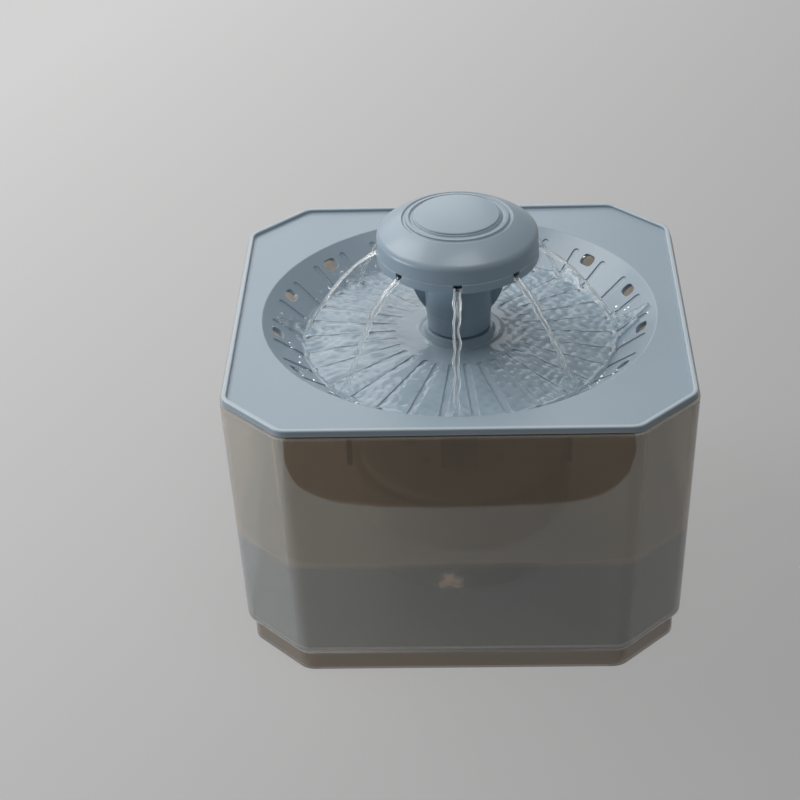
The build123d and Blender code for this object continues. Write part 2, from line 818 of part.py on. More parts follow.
cover_lip_width = cavity_width - 2 * slide_gap
cover_lip_height = cavity_height - 2 * slide_gap
with BuildPart() as pump_back_cover:
    with BuildSketch(at_depth(motor_back)):
        with Locations((0, box_middle)):
            RectangleRounded(pump_width, pump_height, pump_corner_round)
    extrude(amount=-back_cover_thickness)
    with BuildSketch(at_depth(motor_back)):
        with Locations((0, box_middle)):
            RectangleRounded(cover_lip_width, cover_lip_height, pump_corner_round - pump_wall)
            hollow_width = cover_lip_width - 2 * pump_wall
            hollow_height = cover_lip_height - 2 * pump_wall
            Rectangle(hollow_width, hollow_height, mode=Mode.SUBTRACT)
    extrude(amount=back_cover_lip)
    with BuildSketch(at_depth(motor_back)):
        with Locations((0, gland_above_shaft)):
            Circle(gland_neck_radius + running_gap)
    extrude(amount=-back_cover_thickness, mode=Mode.SUBTRACT)
save(pump_back_cover, "pump_back_cover")

with BuildPart() as cable_gland:
    with BuildSketch(at_depth(motor_back)):
        with Locations((0, gland_above_shaft)):
            Circle(gland_neck_radius)
            Circle(cord_radius, mode=Mode.SUBTRACT)
    extrude(amount=-back_cover_thickness - gland_length)
    with BuildSketch(at_depth(cover_back)):
        with Locations((0, gland_above_shaft)):
            Circle(gland_radius)
            Circle(cord_radius, mode=Mode.SUBTRACT)
    extrude(amount=-gland_length / 2)
save(cable_gland, "cable_gland")

with BuildPart() as stator_core:
    with BuildSketch(at_depth(stator_front)):
        arm_top = stator_arm_rise
        yoke_bottom = yoke_z - shaft_z
        yoke_top = yoke_bottom + yoke_height
        Polygon(
            (-arm_outside, arm_top),
            (-arm_outside, yoke_bottom),
            (arm_outside, yoke_bottom),
            (arm_outside, arm_top),
            (arm_inside, arm_top),
            (arm_inside, yoke_top),
            (-arm_inside, yoke_top),
            (-arm_inside, arm_top),
            align=None,
        )
    extrude(amount=-stator_length)
save(stator_core, "stator_core")

yoke_middle = yoke_z + yoke_height / 2
stator_middle = (stator_front + stator_back) / 2
coil_plane = Plane(origin=(-coil_length / 2, stator_middle, yoke_middle), x_dir=(0, 1, 0), z_dir=(1, 0, 0))
with BuildPart() as stator_coil:
    with BuildSketch(coil_plane):
        RectangleRounded(stator_length + 2 * coil_wrap, yoke_height + 2 * coil_wrap, coil_round)
        Rectangle(stator_length + 2 * slide_gap, yoke_height + 2 * slide_gap, mode=Mode.SUBTRACT)
    extrude(amount=coil_length)
save(stator_coil, "stator_coil")

# ---------------------------------------------------------------- rotor and its bearings


def bush(front):
    """A bush round the pump's shaft, with its front face at a depth."""
    with BuildPart() as sleeve:
        with BuildSketch(at_depth(front)):
            Circle(bush_radius)
            Circle(shaft_radius + running_gap, mode=Mode.SUBTRACT)
        extrude(amount=-bush_length)
    return sleeve


save(bush(front_bush_front), "front_bush")
save(bush(rear_bush_front), "rear_bush")

with BuildPart() as impeller_shaft:
    with BuildSketch(at_depth(shaft_front)):
        Circle(shaft_radius)
    extrude(amount=shaft_front - shaft_back)
save(impeller_shaft, "impeller_shaft")

rotor_bore = shaft_radius + running_gap
rotor_sleeve = rotor_bore + rotor_bore_wall
with BuildPart() as impeller:
    with BuildSketch(at_depth(hub_front)):
        Circle(hub_radius)
    extrude(amount=-hub_length)
    with BuildSketch(at_depth(magnet_front - vane_disc_thickness)):
        Circle(vane_radius)
    extrude(amount=-vane_disc_thickness)
    with BuildSketch(at_depth(hub_front)):
        with PolarLocations((hub_radius + vane_radius) / 2 - vane_thickness / 2, vane_count):
            Rectangle(vane_radius - hub_radius + vane_thickness, vane_thickness)
    extrude(amount=-hub_length)
    # the sleeve carries the magnet
    with BuildSketch(at_depth(magnet_front)):
        Circle(rotor_sleeve)
    extrude(amount=-magnet_length)
    with BuildSketch(at_depth(hub_front)):
        Circle(rotor_bore)
    extrude(amount=hub_front - magnet_back, mode=Mode.SUBTRACT)
save(impeller, "impeller")

with BuildPart() as rotor_magnet:
    with BuildSketch(at_depth(magnet_front)):
        Circle(magnet_radius)
        Circle(rotor_sleeve + running_gap, mode=Mode.SUBTRACT)
    extrude(amount=-magnet_length)
save(rotor_magnet, "rotor_magnet")

with BuildPart() as chamber_plate:
    with BuildSketch(at_depth(volute_front)):
        Circle(chamber_radius - slide_gap)
        Circle(intake_radius, mode=Mode.SUBTRACT)
        with PolarLocations(intake_radius / 2, spoke_count, start_angle=90):
            Rectangle(intake_radius + spoke_width, spoke_width)
        Circle(bush_boss_radius)
    extrude(amount=-chamber_plate_thickness)
    with BuildSketch(at_depth(volute_front)):
        Circle(bush_boss_radius)
    extrude(amount=-bush_length)
    with BuildSketch(at_depth(volute_front)):
        Circle(bush_bore)
    extrude(amount=-bush_length, mode=Mode.SUBTRACT)
save(chamber_plate, "chamber_plate")

# ---------------------------------------------------------------- intake cover and flow slider

track_z = -track_drop
cover_inside = cover_front + cover_wall
with BuildPart() as intake_cover:
    with BuildSketch(at_depth(cover_front)):
        RectangleRounded(cover_width, cover_height, cover_round)
    extrude(amount=-cover_depth)
    fillet(intake_cover.faces().sort_by(Axis.Y)[0].edges(), cover_wall / 2)
    with BuildSketch(at_depth(cover_inside)):
        inside_width = cover_width - 2 * cover_wall
        inside_height = cover_height - 2 * cover_wall
        RectangleRounded(inside_width, inside_height, cover_round - cover_wall)
    extrude(amount=-cover_depth, mode=Mode.SUBTRACT)
    with BuildSketch(at_depth(cover_front)):
        with Locations((0, grille_lift)):
            with GridLocations(grille_pitch, 0, grille_count, 1):
                SlotOverall(grille_slot_height, grille_slot_width, rotation=90)
        with Locations((0, track_z)):
            Rectangle(track_width, track_height)
    extrude(amount=-cover_wall, mode=Mode.SUBTRACT)
save(intake_cover, "intake_cover")

with BuildPart() as flow_slider:
    with BuildSketch(at_depth(cover_front - slider_gap - knob_thickness)):
        with Locations((0, track_z)):
            RectangleRounded(knob_width, knob_height, knob_thickness)
    extrude(amount=-knob_thickness)
    with BuildSketch(at_depth(cover_front - slider_gap)):
        with Locations((0, track_z)):
            Rectangle(knob_neck_width, track_height - 2 * slider_gap)
    extrude(amount=-cover_wall - 2 * slider_gap)
    with BuildSketch(at_depth(cover_inside + slider_gap)):
        with Locations((0, track_z)):
            RectangleRounded(knob_width, knob_height, knob_thickness)
    extrude(amount=-knob_thickness)
save(flow_slider, "flow_slider")
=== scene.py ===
import bpy
import json
import numpy as np
from mathutils import Matrix, Vector


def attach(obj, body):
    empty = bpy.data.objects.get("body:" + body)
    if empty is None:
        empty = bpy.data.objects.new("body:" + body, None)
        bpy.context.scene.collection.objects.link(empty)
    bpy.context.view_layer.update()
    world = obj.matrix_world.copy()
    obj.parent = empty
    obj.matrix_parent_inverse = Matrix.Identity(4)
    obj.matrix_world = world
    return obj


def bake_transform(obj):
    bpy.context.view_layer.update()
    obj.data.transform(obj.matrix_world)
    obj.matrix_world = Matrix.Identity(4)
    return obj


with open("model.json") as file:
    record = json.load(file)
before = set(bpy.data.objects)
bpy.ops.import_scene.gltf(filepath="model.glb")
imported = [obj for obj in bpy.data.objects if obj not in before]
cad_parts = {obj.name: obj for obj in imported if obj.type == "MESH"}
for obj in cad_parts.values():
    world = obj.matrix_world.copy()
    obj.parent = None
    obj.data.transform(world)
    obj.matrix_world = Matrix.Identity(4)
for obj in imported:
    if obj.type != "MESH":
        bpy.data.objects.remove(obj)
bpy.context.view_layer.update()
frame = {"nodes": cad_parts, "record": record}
nodes = frame["nodes"]
mm = 0.001
print("frame loaded:", len(nodes), "nodes")


cameraView = {
    "eye": (0.00722418, -0.76580706, 0.56166507), "right": (0.99920567, 0.02375661, -0.03199443),
    "up": (0.0143226, 0.53512865, 0.84464916), "back": (0.03718713, -0.84443647, 0.53436332), "lens": 93.1865,
    "sensor": 36.0,
}


def makeCamera(values):
    # a camera at the eye, turned by its right, up and back axes
    lensData = bpy.data.cameras.new("studioCamera")
    lensData.lens = values["lens"]
    lensData.sensor_width = values["sensor"]
    lensData.clip_start = 0.05
    lensData.clip_end = 20.0
    camera = bpy.data.objects.new("studioCamera", lensData)
    axes = Matrix((values["right"], values["up"], values["back"])).transposed()  # columns: right, up, back
    camera.rotation_mode = "QUATERNION"
    camera.rotation_quaternion = axes.to_quaternion()
    camera.location = values["eye"]
    bpy.context.collection.objects.link(camera)
    bpy.context.scene.camera = camera


makeCamera(cameraView)
print("camera placed")


def addNode(tree, kind, spot, inputs=None, **settings):
    # one node: its settings first, then a value or a link for each named input
    node = tree.nodes.new(kind)
    node.location = spot
    for name, value in settings.items():
        setattr(node, name, value)
    for name, value in (inputs or {}).items():
        if isinstance(value, bpy.types.NodeSocket):
            tree.links.new(value, node.inputs[name])
        else:
            node.inputs[name].default_value = value
    return node


def mathNode(tree, operation, spot, first, second=0.0, third=0.0, clamp=False):
    # one sum on up to three values or links
    return addNode(
        tree, "ShaderNodeMath", spot, {0: first, 1: second, 2: third}, operation=operation, use_clamp=clamp,
    ).outputs[0]


def rangeNode(tree, spot, value, fromLow, fromHigh, toLow=0.0, toHigh=1.0, smooth=True):
    # a value moved from one range to another, clamped
    inputs = {"Value": value, "From Min": fromLow, "From Max": fromHigh, "To Min": toLow, "To Max": toHigh}
    kind = "SMOOTHSTEP" if smooth else "LINEAR"
    return addNode(tree, "ShaderNodeMapRange", spot, inputs, interpolation_type=kind).outputs["Result"]


def mixColor(tree, spot, factor, first, second):
    # the first colour where the factor is 0, the second where it is 1
    node = addNode(tree, "ShaderNodeMix", spot, {0: factor, 6: first, 7: second}, data_type="RGBA")
    return node.outputs[2]


def mixValue(tree, spot, factor, first, second):
    # the same for two values
    return addNode(tree, "ShaderNodeMix", spot, {0: factor, 2: first, 3: second}, data_type="FLOAT").outputs[0]


def vectorNode(tree, operation, spot, first, second=None, third=None):
    # one sum on up to three vectors; lengths and dot products come out as a value
    given = {number: value for number, value in enumerate((first, second, third)) if value is not None}
    node = addNode(tree, "ShaderNodeVectorMath", spot, given, operation=operation)
    return node.outputs["Value" if operation in ("LENGTH", "DOT_PRODUCT") else "Vector"]


def noiseNode(tree, spot, place, size, detail=2.0, roughness=0.5):
    # cloudy noise, with a grey and a coloured output
    inputs = {"Vector": place, "Scale": size, "Detail": detail, "Roughness": roughness}
    return addNode(tree, "ShaderNodeTexNoise", spot, inputs)


def bumpNode(tree, spot, height, strength, distance, **more):
    # a normal bent by a height
    inputs = {"Strength": strength, "Distance": distance, "Height": height, **more}
    return addNode(tree, "ShaderNodeBump", spot, inputs).outputs["Normal"]


def newGroup(name, inputs, outputs):
    # an empty node group with its named inputs, their start values, and its outputs
    group = bpy.data.node_groups.new(name, "ShaderNodeTree")
    for label, kind, value in inputs:
        socket = group.interface.new_socket(name=label, in_out="INPUT", socket_type=kind)
        if value is not None:
            socket.default_value = value
    for label, kind in outputs:
        group.interface.new_socket(name=label, in_out="OUTPUT", socket_type=kind)
    entry = addNode(group, "NodeGroupInput", (-900, 0))
    ending = addNode(group, "NodeGroupOutput", (600, 0))
    return group, entry, ending


def newMaterial(name):
    # an empty material, with the object coordinates and the output
    material = bpy.data.materials.new(name)
    material.use_nodes = True
    tree = material.node_tree
    tree.nodes.clear()
    place = addNode(tree, "ShaderNodeTexCoord", (-1400, 0)).outputs["Object"]
    ending = addNode(tree, "ShaderNodeOutputMaterial", (600, 0))
    return material, tree, place, ending


def placeGroup(tree, group, spot, inputs):
    # one use of a node group
    return addNode(tree, "ShaderNodeGroup", spot, inputs, node_tree=group)


floatSocket, colorSocket, vectorSocket = "NodeSocketFloat", "NodeSocketColor", "NodeSocketVector"


def makeMouldGrain():
    # spark-eroded grain: a fine noise for the height, and a coarse one that clouds the colour and the gloss
    group, entry, ending = newGroup(
        "mouldGrain",
        [("Place", vectorSocket, None), ("Grain Size", floatSocket, 2500.0), ("Cloud Size", floatSocket, 60.0)],
        [("Height", floatSocket), ("Cloud", floatSocket)],
    )
    fine = noiseNode(group, (-500, 100), entry.outputs["Place"], entry.outputs["Grain Size"])
    cloud = noiseNode(group, (-500, -200), entry.outputs["Place"], entry.outputs["Cloud Size"], 3.0)
    group.links.new(fine.outputs["Fac"], ending.inputs["Height"])
    group.links.new(cloud.outputs["Fac"], ending.inputs["Cloud"])
    return group


def makeTintVariation():
    # a colour made a little lighter or darker by a mask: colour * (1 + 2 * amount * (mask - 0.5))
    group, entry, ending = newGroup(
        "tintVariation",
        [("Color", colorSocket, (0.5, 0.5, 0.5, 1)), ("Mask", floatSocket, 0.5), ("Amount", floatSocket, 0.08)],
        [("Color", colorSocket)],
    )
    centred = mathNode(group, "SUBTRACT", (-600, 0), entry.outputs["Mask"], 0.5)
    scaled = mathNode(group, "MULTIPLY", (-400, 0), centred, entry.outputs["Amount"])
    factor = mathNode(group, "MULTIPLY_ADD", (-200, 0), scaled, 2.0, 1.0)
    tint = addNode(
        group, "ShaderNodeVectorMath", (0, 0), {0: entry.outputs["Color"], "Scale": factor}, operation="SCALE",
    )
    group.links.new(tint.outputs["Vector"], ending.inputs["Color"])
    return group


def makeHandlingMarks():
    # hairline scuffs and wiped smears, the highest streaks of
    # a stretched noise: 4 * (noise - 0.75 + share), clamped
    group, entry, ending = newGroup(
        "handlingMarks",
        [("Place", vectorSocket, None), ("Size", floatSocket, 30.0), ("Share", floatSocket, 0.3)],
        [("Mask", floatSocket)],
    )
    stretched = addNode(
        group, "ShaderNodeMapping", (-700, 0),
        {"Vector": entry.outputs["Place"], "Scale": (1.0, 0.35, 6.0), "Rotation": (0.2, 0.3, 0.5)},
    )
    streaks = noiseNode(group, (-500, 0), stretched.outputs[0], entry.outputs["Size"], 6.0, 0.65)
    edge = mathNode(group, "SUBTRACT", (-300, -150), 0.75, entry.outputs["Share"])
    above = mathNode(group, "SUBTRACT", (-100, 0), streaks.outputs["Fac"], edge)
    mask = mathNode(group, "MULTIPLY", (100, 0), above, 4.0, clamp=True)
    group.links.new(mask, ending.inputs["Mask"])
    return group


def makeEdgeHighlight():
    # a mask for a painted highlight on corners: 1 on corners and 0 on flat faces, by how far the face's normal
    # turns from the normal averaged round the corner
    group, entry, ending = newGroup("edgeHighlight", [("Radius", floatSocket, 0.0006)], [("Mask", floatSocket)])
    averaged = addNode(group, "ShaderNodeBevel", (-600, 0), {"Radius": entry.outputs["Radius"]}, samples=4)
    plain = addNode(group, "ShaderNodeNewGeometry", (-600, -200))
    same = vectorNode(group, "DOT_PRODUCT", (-400, 0), averaged.outputs[0], plain.outputs["Normal"])
    mask = rangeNode(group, (-200, 0), same, 0.995, 0.80, 0.0, 1.0)
    group.links.new(mask, ending.inputs["Mask"])
    return group


mouldGrain = makeMouldGrain()
tintVariation = makeTintVariation()
handlingMarks = makeHandlingMarks()
edgeHighlight = makeEdgeHighlight()
print("shared effects built")


def rimShadeAndHighlight(tree, place, values):
    # outside rimReach from the middle: painted shade on the underside up to a given height,
    # and two painted highlight lines, on the rim's top and on its lower edge
    parts = addNode(tree, "ShaderNodeSeparateXYZ", (-1200, 1000), {0: place})
    flatPlace = vectorNode(tree, "MULTIPLY", (-1200, 1200), place, (1.0, 1.0, 0.0))
    reach = vectorNode(tree, "LENGTH", (-1000, 1200), flatPlace)
    away = rangeNode(tree, (-800, 1200), reach, values["rimReach"], values["rimReach"] + 0.0004)
    low = rangeNode(tree, (-800, 1000), parts.outputs["Z"], values["shadeTop"] - 0.0001, values["shadeTop"], 1.0, 0.0)
    lineEnd = rangeNode(
        tree, (-800, 800), parts.outputs["Z"], values["shadeTop"] + 0.0003, values["shadeTop"] + 0.0006, 1.0, 0.0,
    )
    line = mathNode(
        tree, "MULTIPLY", (-600, 800), mathNode(tree, "SUBTRACT", (-700, 800), lineEnd, low), values["lowHighlight"],
    )
    onRim = rangeNode(tree, (-800, 600), parts.outputs["Z"], values["rimTop"] - 0.0009, values["rimTop"] - 0.0002)
    ended = rangeNode(
        tree, (-800, 400), parts.outputs["Z"], values["rimTop"] + 0.0002, values["rimTop"] + 0.0005, 1.0, 0.0,
    )
    top = mathNode(tree, "MULTIPLY", (-600, 500), onRim, ended)
    lines = mathNode(tree, "MULTIPLY", (-400, 700), mathNode(tree, "MAXIMUM", (-500, 700), line, top), away)
    return mathNode(tree, "MULTIPLY", (-400, 1100), away, low), lines


def mouldedPlastic(name, values):
    # satin moulding: clouded colour, a painted highlight on the edges, smears in
    # the gloss, fine grain, and edges softened by a small bevel
    material, tree, place, ending = newMaterial(name)
    grain = placeGroup(
        tree, mouldGrain, (-1150, 200),
        {"Place": place, "Grain Size": values["grainSize"], "Cloud Size": values["cloudSize"]},
    )
    marks = placeGroup(
        tree, handlingMarks, (-1150, -100),
        {"Place": place, "Size": values["markSize"], "Share": values["markShare"]},
    )
    tint = placeGroup(
        tree, tintVariation, (-700, 300),
        {"Color": values["color"], "Mask": grain.outputs["Cloud"], "Amount": values["tintAmount"]},
    )
    cloudGloss = mathNode(tree, "MULTIPLY", (-700, 50), grain.outputs["Cloud"], values["cloudGloss"])
    markGloss = mathNode(tree, "MULTIPLY_ADD", (-500, 50), marks.outputs["Mask"], values["markGloss"], cloudGloss)
    roughness = mathNode(tree, "ADD", (-300, 50), markGloss, values["roughness"])
    color = tint.outputs["Color"]
    if values.get("edgeHighlightShare"):
        # painted highlight: the edges made paler and glossier
        edge = placeGroup(tree, edgeHighlight, (-900, 600), {"Radius": values["edgeWidth"]})
        edgeLit = mathNode(tree, "MULTIPLY", (-700, 600), edge.outputs["Mask"], values["edgeHighlightShare"])
        color = mixColor(tree, (-400, 400), edgeLit, color, values["highlightColor"])
        roughness = mathNode(tree, "MULTIPLY_ADD", (-150, 50), edgeLit, values["edgeGloss"], roughness)
    if values.get("undersideShadeColor"):
        # painted shade under the rim, and painted highlight lines along it
        underShade, lines = rimShadeAndHighlight(tree, place, values)
        trayRimHighlight = mathNode(tree, "MULTIPLY", (-350, 700), lines, values["highlightShare"])
        color = mixColor(tree, (-300, 500), trayRimHighlight, color, values["highlightColor"])
        color = mixColor(tree, (-200, 500), underShade, color, values["undersideShadeColor"])
    softEdge = addNode(tree, "ShaderNodeBevel", (-500, -300), {"Radius": values["edgeRadius"]}, samples=4)
    bump = bumpNode(
        tree, (-250, -200), grain.outputs["Height"], values["grainStrength"], values["grainDepth"],
        Normal=softEdge.outputs[0],
    )
    shader = addNode(tree, "ShaderNodeBsdfPrincipled", (100, 0), {
        "Base Color": color, "Roughness": roughness, "IOR": values["ior"],
        "Coat Weight": values["coat"], "Coat Roughness": values["coatRoughness"], "Normal": bump,
    })
    tree.links.new(shader.outputs[0], ending.inputs["Surface"])
    return material


# the edge, rim-line and underside colours here are painted highlights and painted shade
blueGreyFinish = {
    "color": (0.297, 0.376, 0.446, 1), "tintAmount": 0.035, "roughness": 0.34, "cloudGloss": 0.06,
    "markGloss": 0.05, "grainSize": 2600.0, "cloudSize": 45.0, "markSize": 24.0, "markShare": 0.24,
    "grainStrength": 0.25, "grainDepth": 0.00003, "edgeRadius": 0.0004, "ior": 1.49, "coat": 0.18,
    "coatRoughness": 0.18, "edgeWidth": 0.0007, "edgeHighlightShare": 0.5, "highlightColor": (0.62, 0.68, 0.72, 1),
    "edgeGloss": -0.15, "undersideShadeColor": (0.09, 0.105, 0.112, 1), "rimReach": 0.0862, "rimTop": 0.1235,
    "shadeTop": 0.12065, "lowHighlight": 0.8, "highlightShare": 0.45,
}
basketFinish = {
    "color": (0.42, 0.44, 0.45, 1), "tintAmount": 0.05, "roughness": 0.34, "cloudGloss": 0.08, "markGloss": 0.08,
    "grainSize": 2200.0, "cloudSize": 50.0, "markSize": 35.0, "markShare": 0.3, "grainStrength": 0.4,
    "grainDepth": 0.00004, "edgeRadius": 0.0003, "ior": 1.49, "coat": 0.0, "coatRoughness": 0.1,
}
pumpFinish = {
    "color": (0.028, 0.029, 0.032, 1), "tintAmount": 0.1, "roughness": 0.36, "cloudGloss": 0.1, "markGloss": 0.12,
    "grainSize": 1800.0, "cloudSize": 80.0, "markSize": 60.0, "markShare": 0.32, "grainStrength": 0.5,
    "grainDepth": 0.00005, "edgeRadius": 0.0003, "ior": 1.5, "coat": 0.0, "coatRoughness": 0.1,
}
rotorFinish = {
    "color": (0.62, 0.61, 0.57, 1), "tintAmount": 0.05, "roughness": 0.3, "cloudGloss": 0.08, "markGloss": 0.08,
    "grainSize": 3000.0, "cloudSize": 120.0, "markSize": 90.0, "markShare": 0.25, "grainStrength": 0.3,
    "grainDepth": 0.00002, "edgeRadius": 0.0002, "ior": 1.5, "coat": 0.0, "coatRoughness": 0.1,
}
rubberFinish = {
    "color": (0.035, 0.035, 0.038, 1), "tintAmount": 0.15, "roughness": 0.62, "cloudGloss": 0.12,
    "markGloss": -0.08, "grainSize": 1500.0, "cloudSize": 200.0, "markSize": 120.0, "markShare": 0.3,
    "grainStrength": 0.6, "grainDepth": 0.00006, "edgeRadius": 0.0003, "ior": 1.43, "coat": 0.0,
    "coatRoughness": 0.1,
}
ferriteFinish = {
    "color": (0.045, 0.044, 0.045, 1), "tintAmount": 0.2, "roughness": 0.5, "cloudGloss": 0.15, "markGloss": 0.1,
    "grainSize": 1200.0, "cloudSize": 300.0, "markSize": 200.0, "markShare": 0.3, "grainStrength": 0.7,
    "grainDepth": 0.00005, "edgeRadius": 0.0002, "ior": 2.0, "coat": 0.0, "coatRoughness": 0.1,
}


def filterFoamMaterial(values):
    # open-cell foam: a cell pattern gives painted shade in the pores, darker than the paler web, and a deep bump
    material, tree, place, ending = newMaterial("filterFoam")
    cells = addNode(
        tree, "ShaderNodeTexVoronoi", (-1100, 0), {"Vector": place, "Scale": values["poreSize"]}, feature="F1",
    )
    web = rangeNode(tree, (-850, 0), cells.outputs["Distance"], 0.15, 0.6)
    cloud = noiseNode(tree, (-1100, -300), place, 70.0, 4.0)
    shade = mixColor(tree, (-600, 100), web, values["poreShadeColor"], values["webColor"])
    tint = placeGroup(
        tree, tintVariation, (-350, 100), {"Color": shade, "Mask": cloud.outputs["Fac"], "Amount": 0.12},
    )
    bump = bumpNode(tree, (-300, -200), web, 0.9, 0.0006)
    shader = addNode(
        tree, "ShaderNodeBsdfPrincipled", (100, 0),
        {"Base Color": tint.outputs["Color"], "Roughness": 0.9, "Sheen Weight": 0.2, "Normal": bump},
    )
    tree.links.new(shader.outputs[0], ending.inputs["Surface"])
    return material


foamFinish = {"poreSize": 900.0, "poreShadeColor": (0.16, 0.15, 0.135, 1), "webColor": (0.36, 0.34, 0.31, 1)}


def metalMaterial(name, values):
    # metal with lines along one axis: ground marks on the shaft,
    # the sheets of the laminations, the wires of the coil
    material, tree, place, ending = newMaterial(name)
    parts = addNode(tree, "ShaderNodeSeparateXYZ", (-1150, 0), {0: place})
    along = parts.outputs[values["axis"]]
    phase = mathNode(tree, "MULTIPLY", (-950, 0), along, 6.2832 / values["pitch"])
    wave = mathNode(tree, "SINE", (-800, 0), phase)
    noise = noiseNode(tree, (-1150, -300), place, values["cloudSize"], 4.0)
    line = rangeNode(tree, (-600, 0), wave, -1.0, -1.0 + values["highlightShare"])
    shade = mixColor(tree, (-350, 150), line, values["lineColor"], values["color"])
    tint = placeGroup(
        tree, tintVariation, (-150, 150),
        {"Color": shade, "Mask": noise.outputs["Fac"], "Amount": values["tintAmount"]},
    )
    roughness = mathNode(tree, "MULTIPLY_ADD", (-350, -50), noise.outputs["Fac"], 0.15, values["roughness"])
    bump = bumpNode(tree, (-150, -250), line, 0.6, values["depth"])
    shader = addNode(
        tree, "ShaderNodeBsdfPrincipled", (100, 0),
        {
            "Base Color": tint.outputs["Color"], "Metallic": values["metallic"], "Roughness": roughness,
            "Coat Weight": values["coat"], "Normal": bump,
        },
    )
    tree.links.new(shader.outputs[0], ending.inputs["Surface"])
    return material


shaftFinish = {
    "axis": "Y", "pitch": 0.0004, "highlightShare": 0.3, "lineColor": (0.55, 0.55, 0.56, 1),
    "color": (0.68, 0.69, 0.7, 1), "cloudSize": 400.0, "tintAmount": 0.05, "roughness": 0.16, "depth": 0.00001,
    "metallic": 1.0, "coat": 0.0,
}
laminationFinish = {
    "axis": "Y", "pitch": 0.0006, "highlightShare": 0.35, "lineColor": (0.06, 0.05, 0.05, 1),
    "color": (0.36, 0.36, 0.38, 1), "cloudSize": 250.0, "tintAmount": 0.25, "roughness": 0.38, "depth": 0.00006,
    "metallic": 1.0, "coat": 0.0,
}
windingFinish = {
    "axis": "X", "pitch": 0.0005, "highlightShare": 0.6, "lineColor": (0.16, 0.05, 0.02, 1),
    "color": (0.62, 0.24, 0.09, 1), "cloudSize": 200.0, "tintAmount": 0.1, "roughness": 0.25, "depth": 0.0001,
    "metallic": 0.9, "coat": 0.6,
}


def letLightThrough(tree, shader, ending, tint, share, spot):
    # rays that only carry light pass straight through, so that what lies behind stays lit
    path = addNode(tree, "ShaderNodeLightPath", (spot[0] - 500, spot[1] + 300))
    either = mathNode(
        tree, "MAXIMUM", (spot[0] - 300, spot[1] + 300), path.outputs["Is Shadow Ray"],
        path.outputs["Is Diffuse Ray"],
    )
    factor = mathNode(tree, "MULTIPLY", (spot[0] - 150, spot[1] + 300), either, share)
    clear = addNode(tree, "ShaderNodeBsdfTransparent", (spot[0] - 150, spot[1] - 100), {"Color": tint})
    mix = addNode(tree, "ShaderNodeMixShader", spot, {0: factor, 1: shader.outputs[0], 2: clear.outputs[0]})
    tree.links.new(mix.outputs[0], ending.inputs["Surface"])


def wetPatchMask(tree, parts, place, values):
    # a rounded box on the front wall: (x / halfWidth)^n + ((top - z) / drop)^n below 1, with a wavering edge
    waver = noiseNode(tree, (-1900, -600), place, values["waverSize"])
    across = mathNode(tree, "ABSOLUTE", (-1900, -300), parts.outputs["X"])
    acrossShare = mathNode(tree, "DIVIDE", (-1750, -300), across, values["halfWidth"])
    acrossPower = mathNode(tree, "POWER", (-1600, -300), acrossShare, values["squareness"])
    down = mathNode(tree, "SUBTRACT", (-1900, -450), values["top"], parts.outputs["Z"])
    downShare = mathNode(tree, "DIVIDE", (-1750, -450), down, values["drop"])
    downward = mathNode(tree, "MAXIMUM", (-1680, -520), downShare, 0.0)
    downPower = mathNode(tree, "POWER", (-1600, -450), downward, values["squareness"])
    total = mathNode(tree, "ADD", (-1450, -350), acrossPower, downPower)
    wavered = mathNode(tree, "MULTIPLY_ADD", (-1300, -350), waver.outputs["Fac"], values["waver"], total)
    inside = rangeNode(tree, (-1150, -350), wavered, values["edgeInside"], values["edgeOutside"], 1.0, 0.0)
    frontOnly = rangeNode(tree, (-1150, -600), parts.outputs["Y"], -0.0905, -0.0885, 1.0, 0.0)
    return mathNode(tree, "MULTIPLY", (-1000, -400), inside, frontOnly)


def warmGlowMask(tree, place, values):
    # a painted warm glow on the front wall, a blurred curl:
    # 1 at its middle, 0 at its radius, bent by noise
    noise = noiseNode(tree, (-1900, 1200), place, values["bendSize"], 1.0)
    bend = vectorNode(tree, "SUBTRACT", (-1700, 1200), noise.outputs["Color"], (0.5, 0.5, 0.5))
    moved = vectorNode(tree, "MULTIPLY_ADD", (-1500, 1200), bend, (values["bend"],) * 3, place)
    shift = vectorNode(tree, "SUBTRACT", (-1300, 1200), moved, values["middle"])
    squeezed = vectorNode(tree, "MULTIPLY", (-1100, 1200), shift, (1.0, 0.5, values["squeeze"]))
    gap = vectorNode(tree, "LENGTH", (-900, 1200), squeezed)
    return rangeNode(tree, (-700, 1200), gap, values["core"], values["radius"], values["strength"], 0.0)


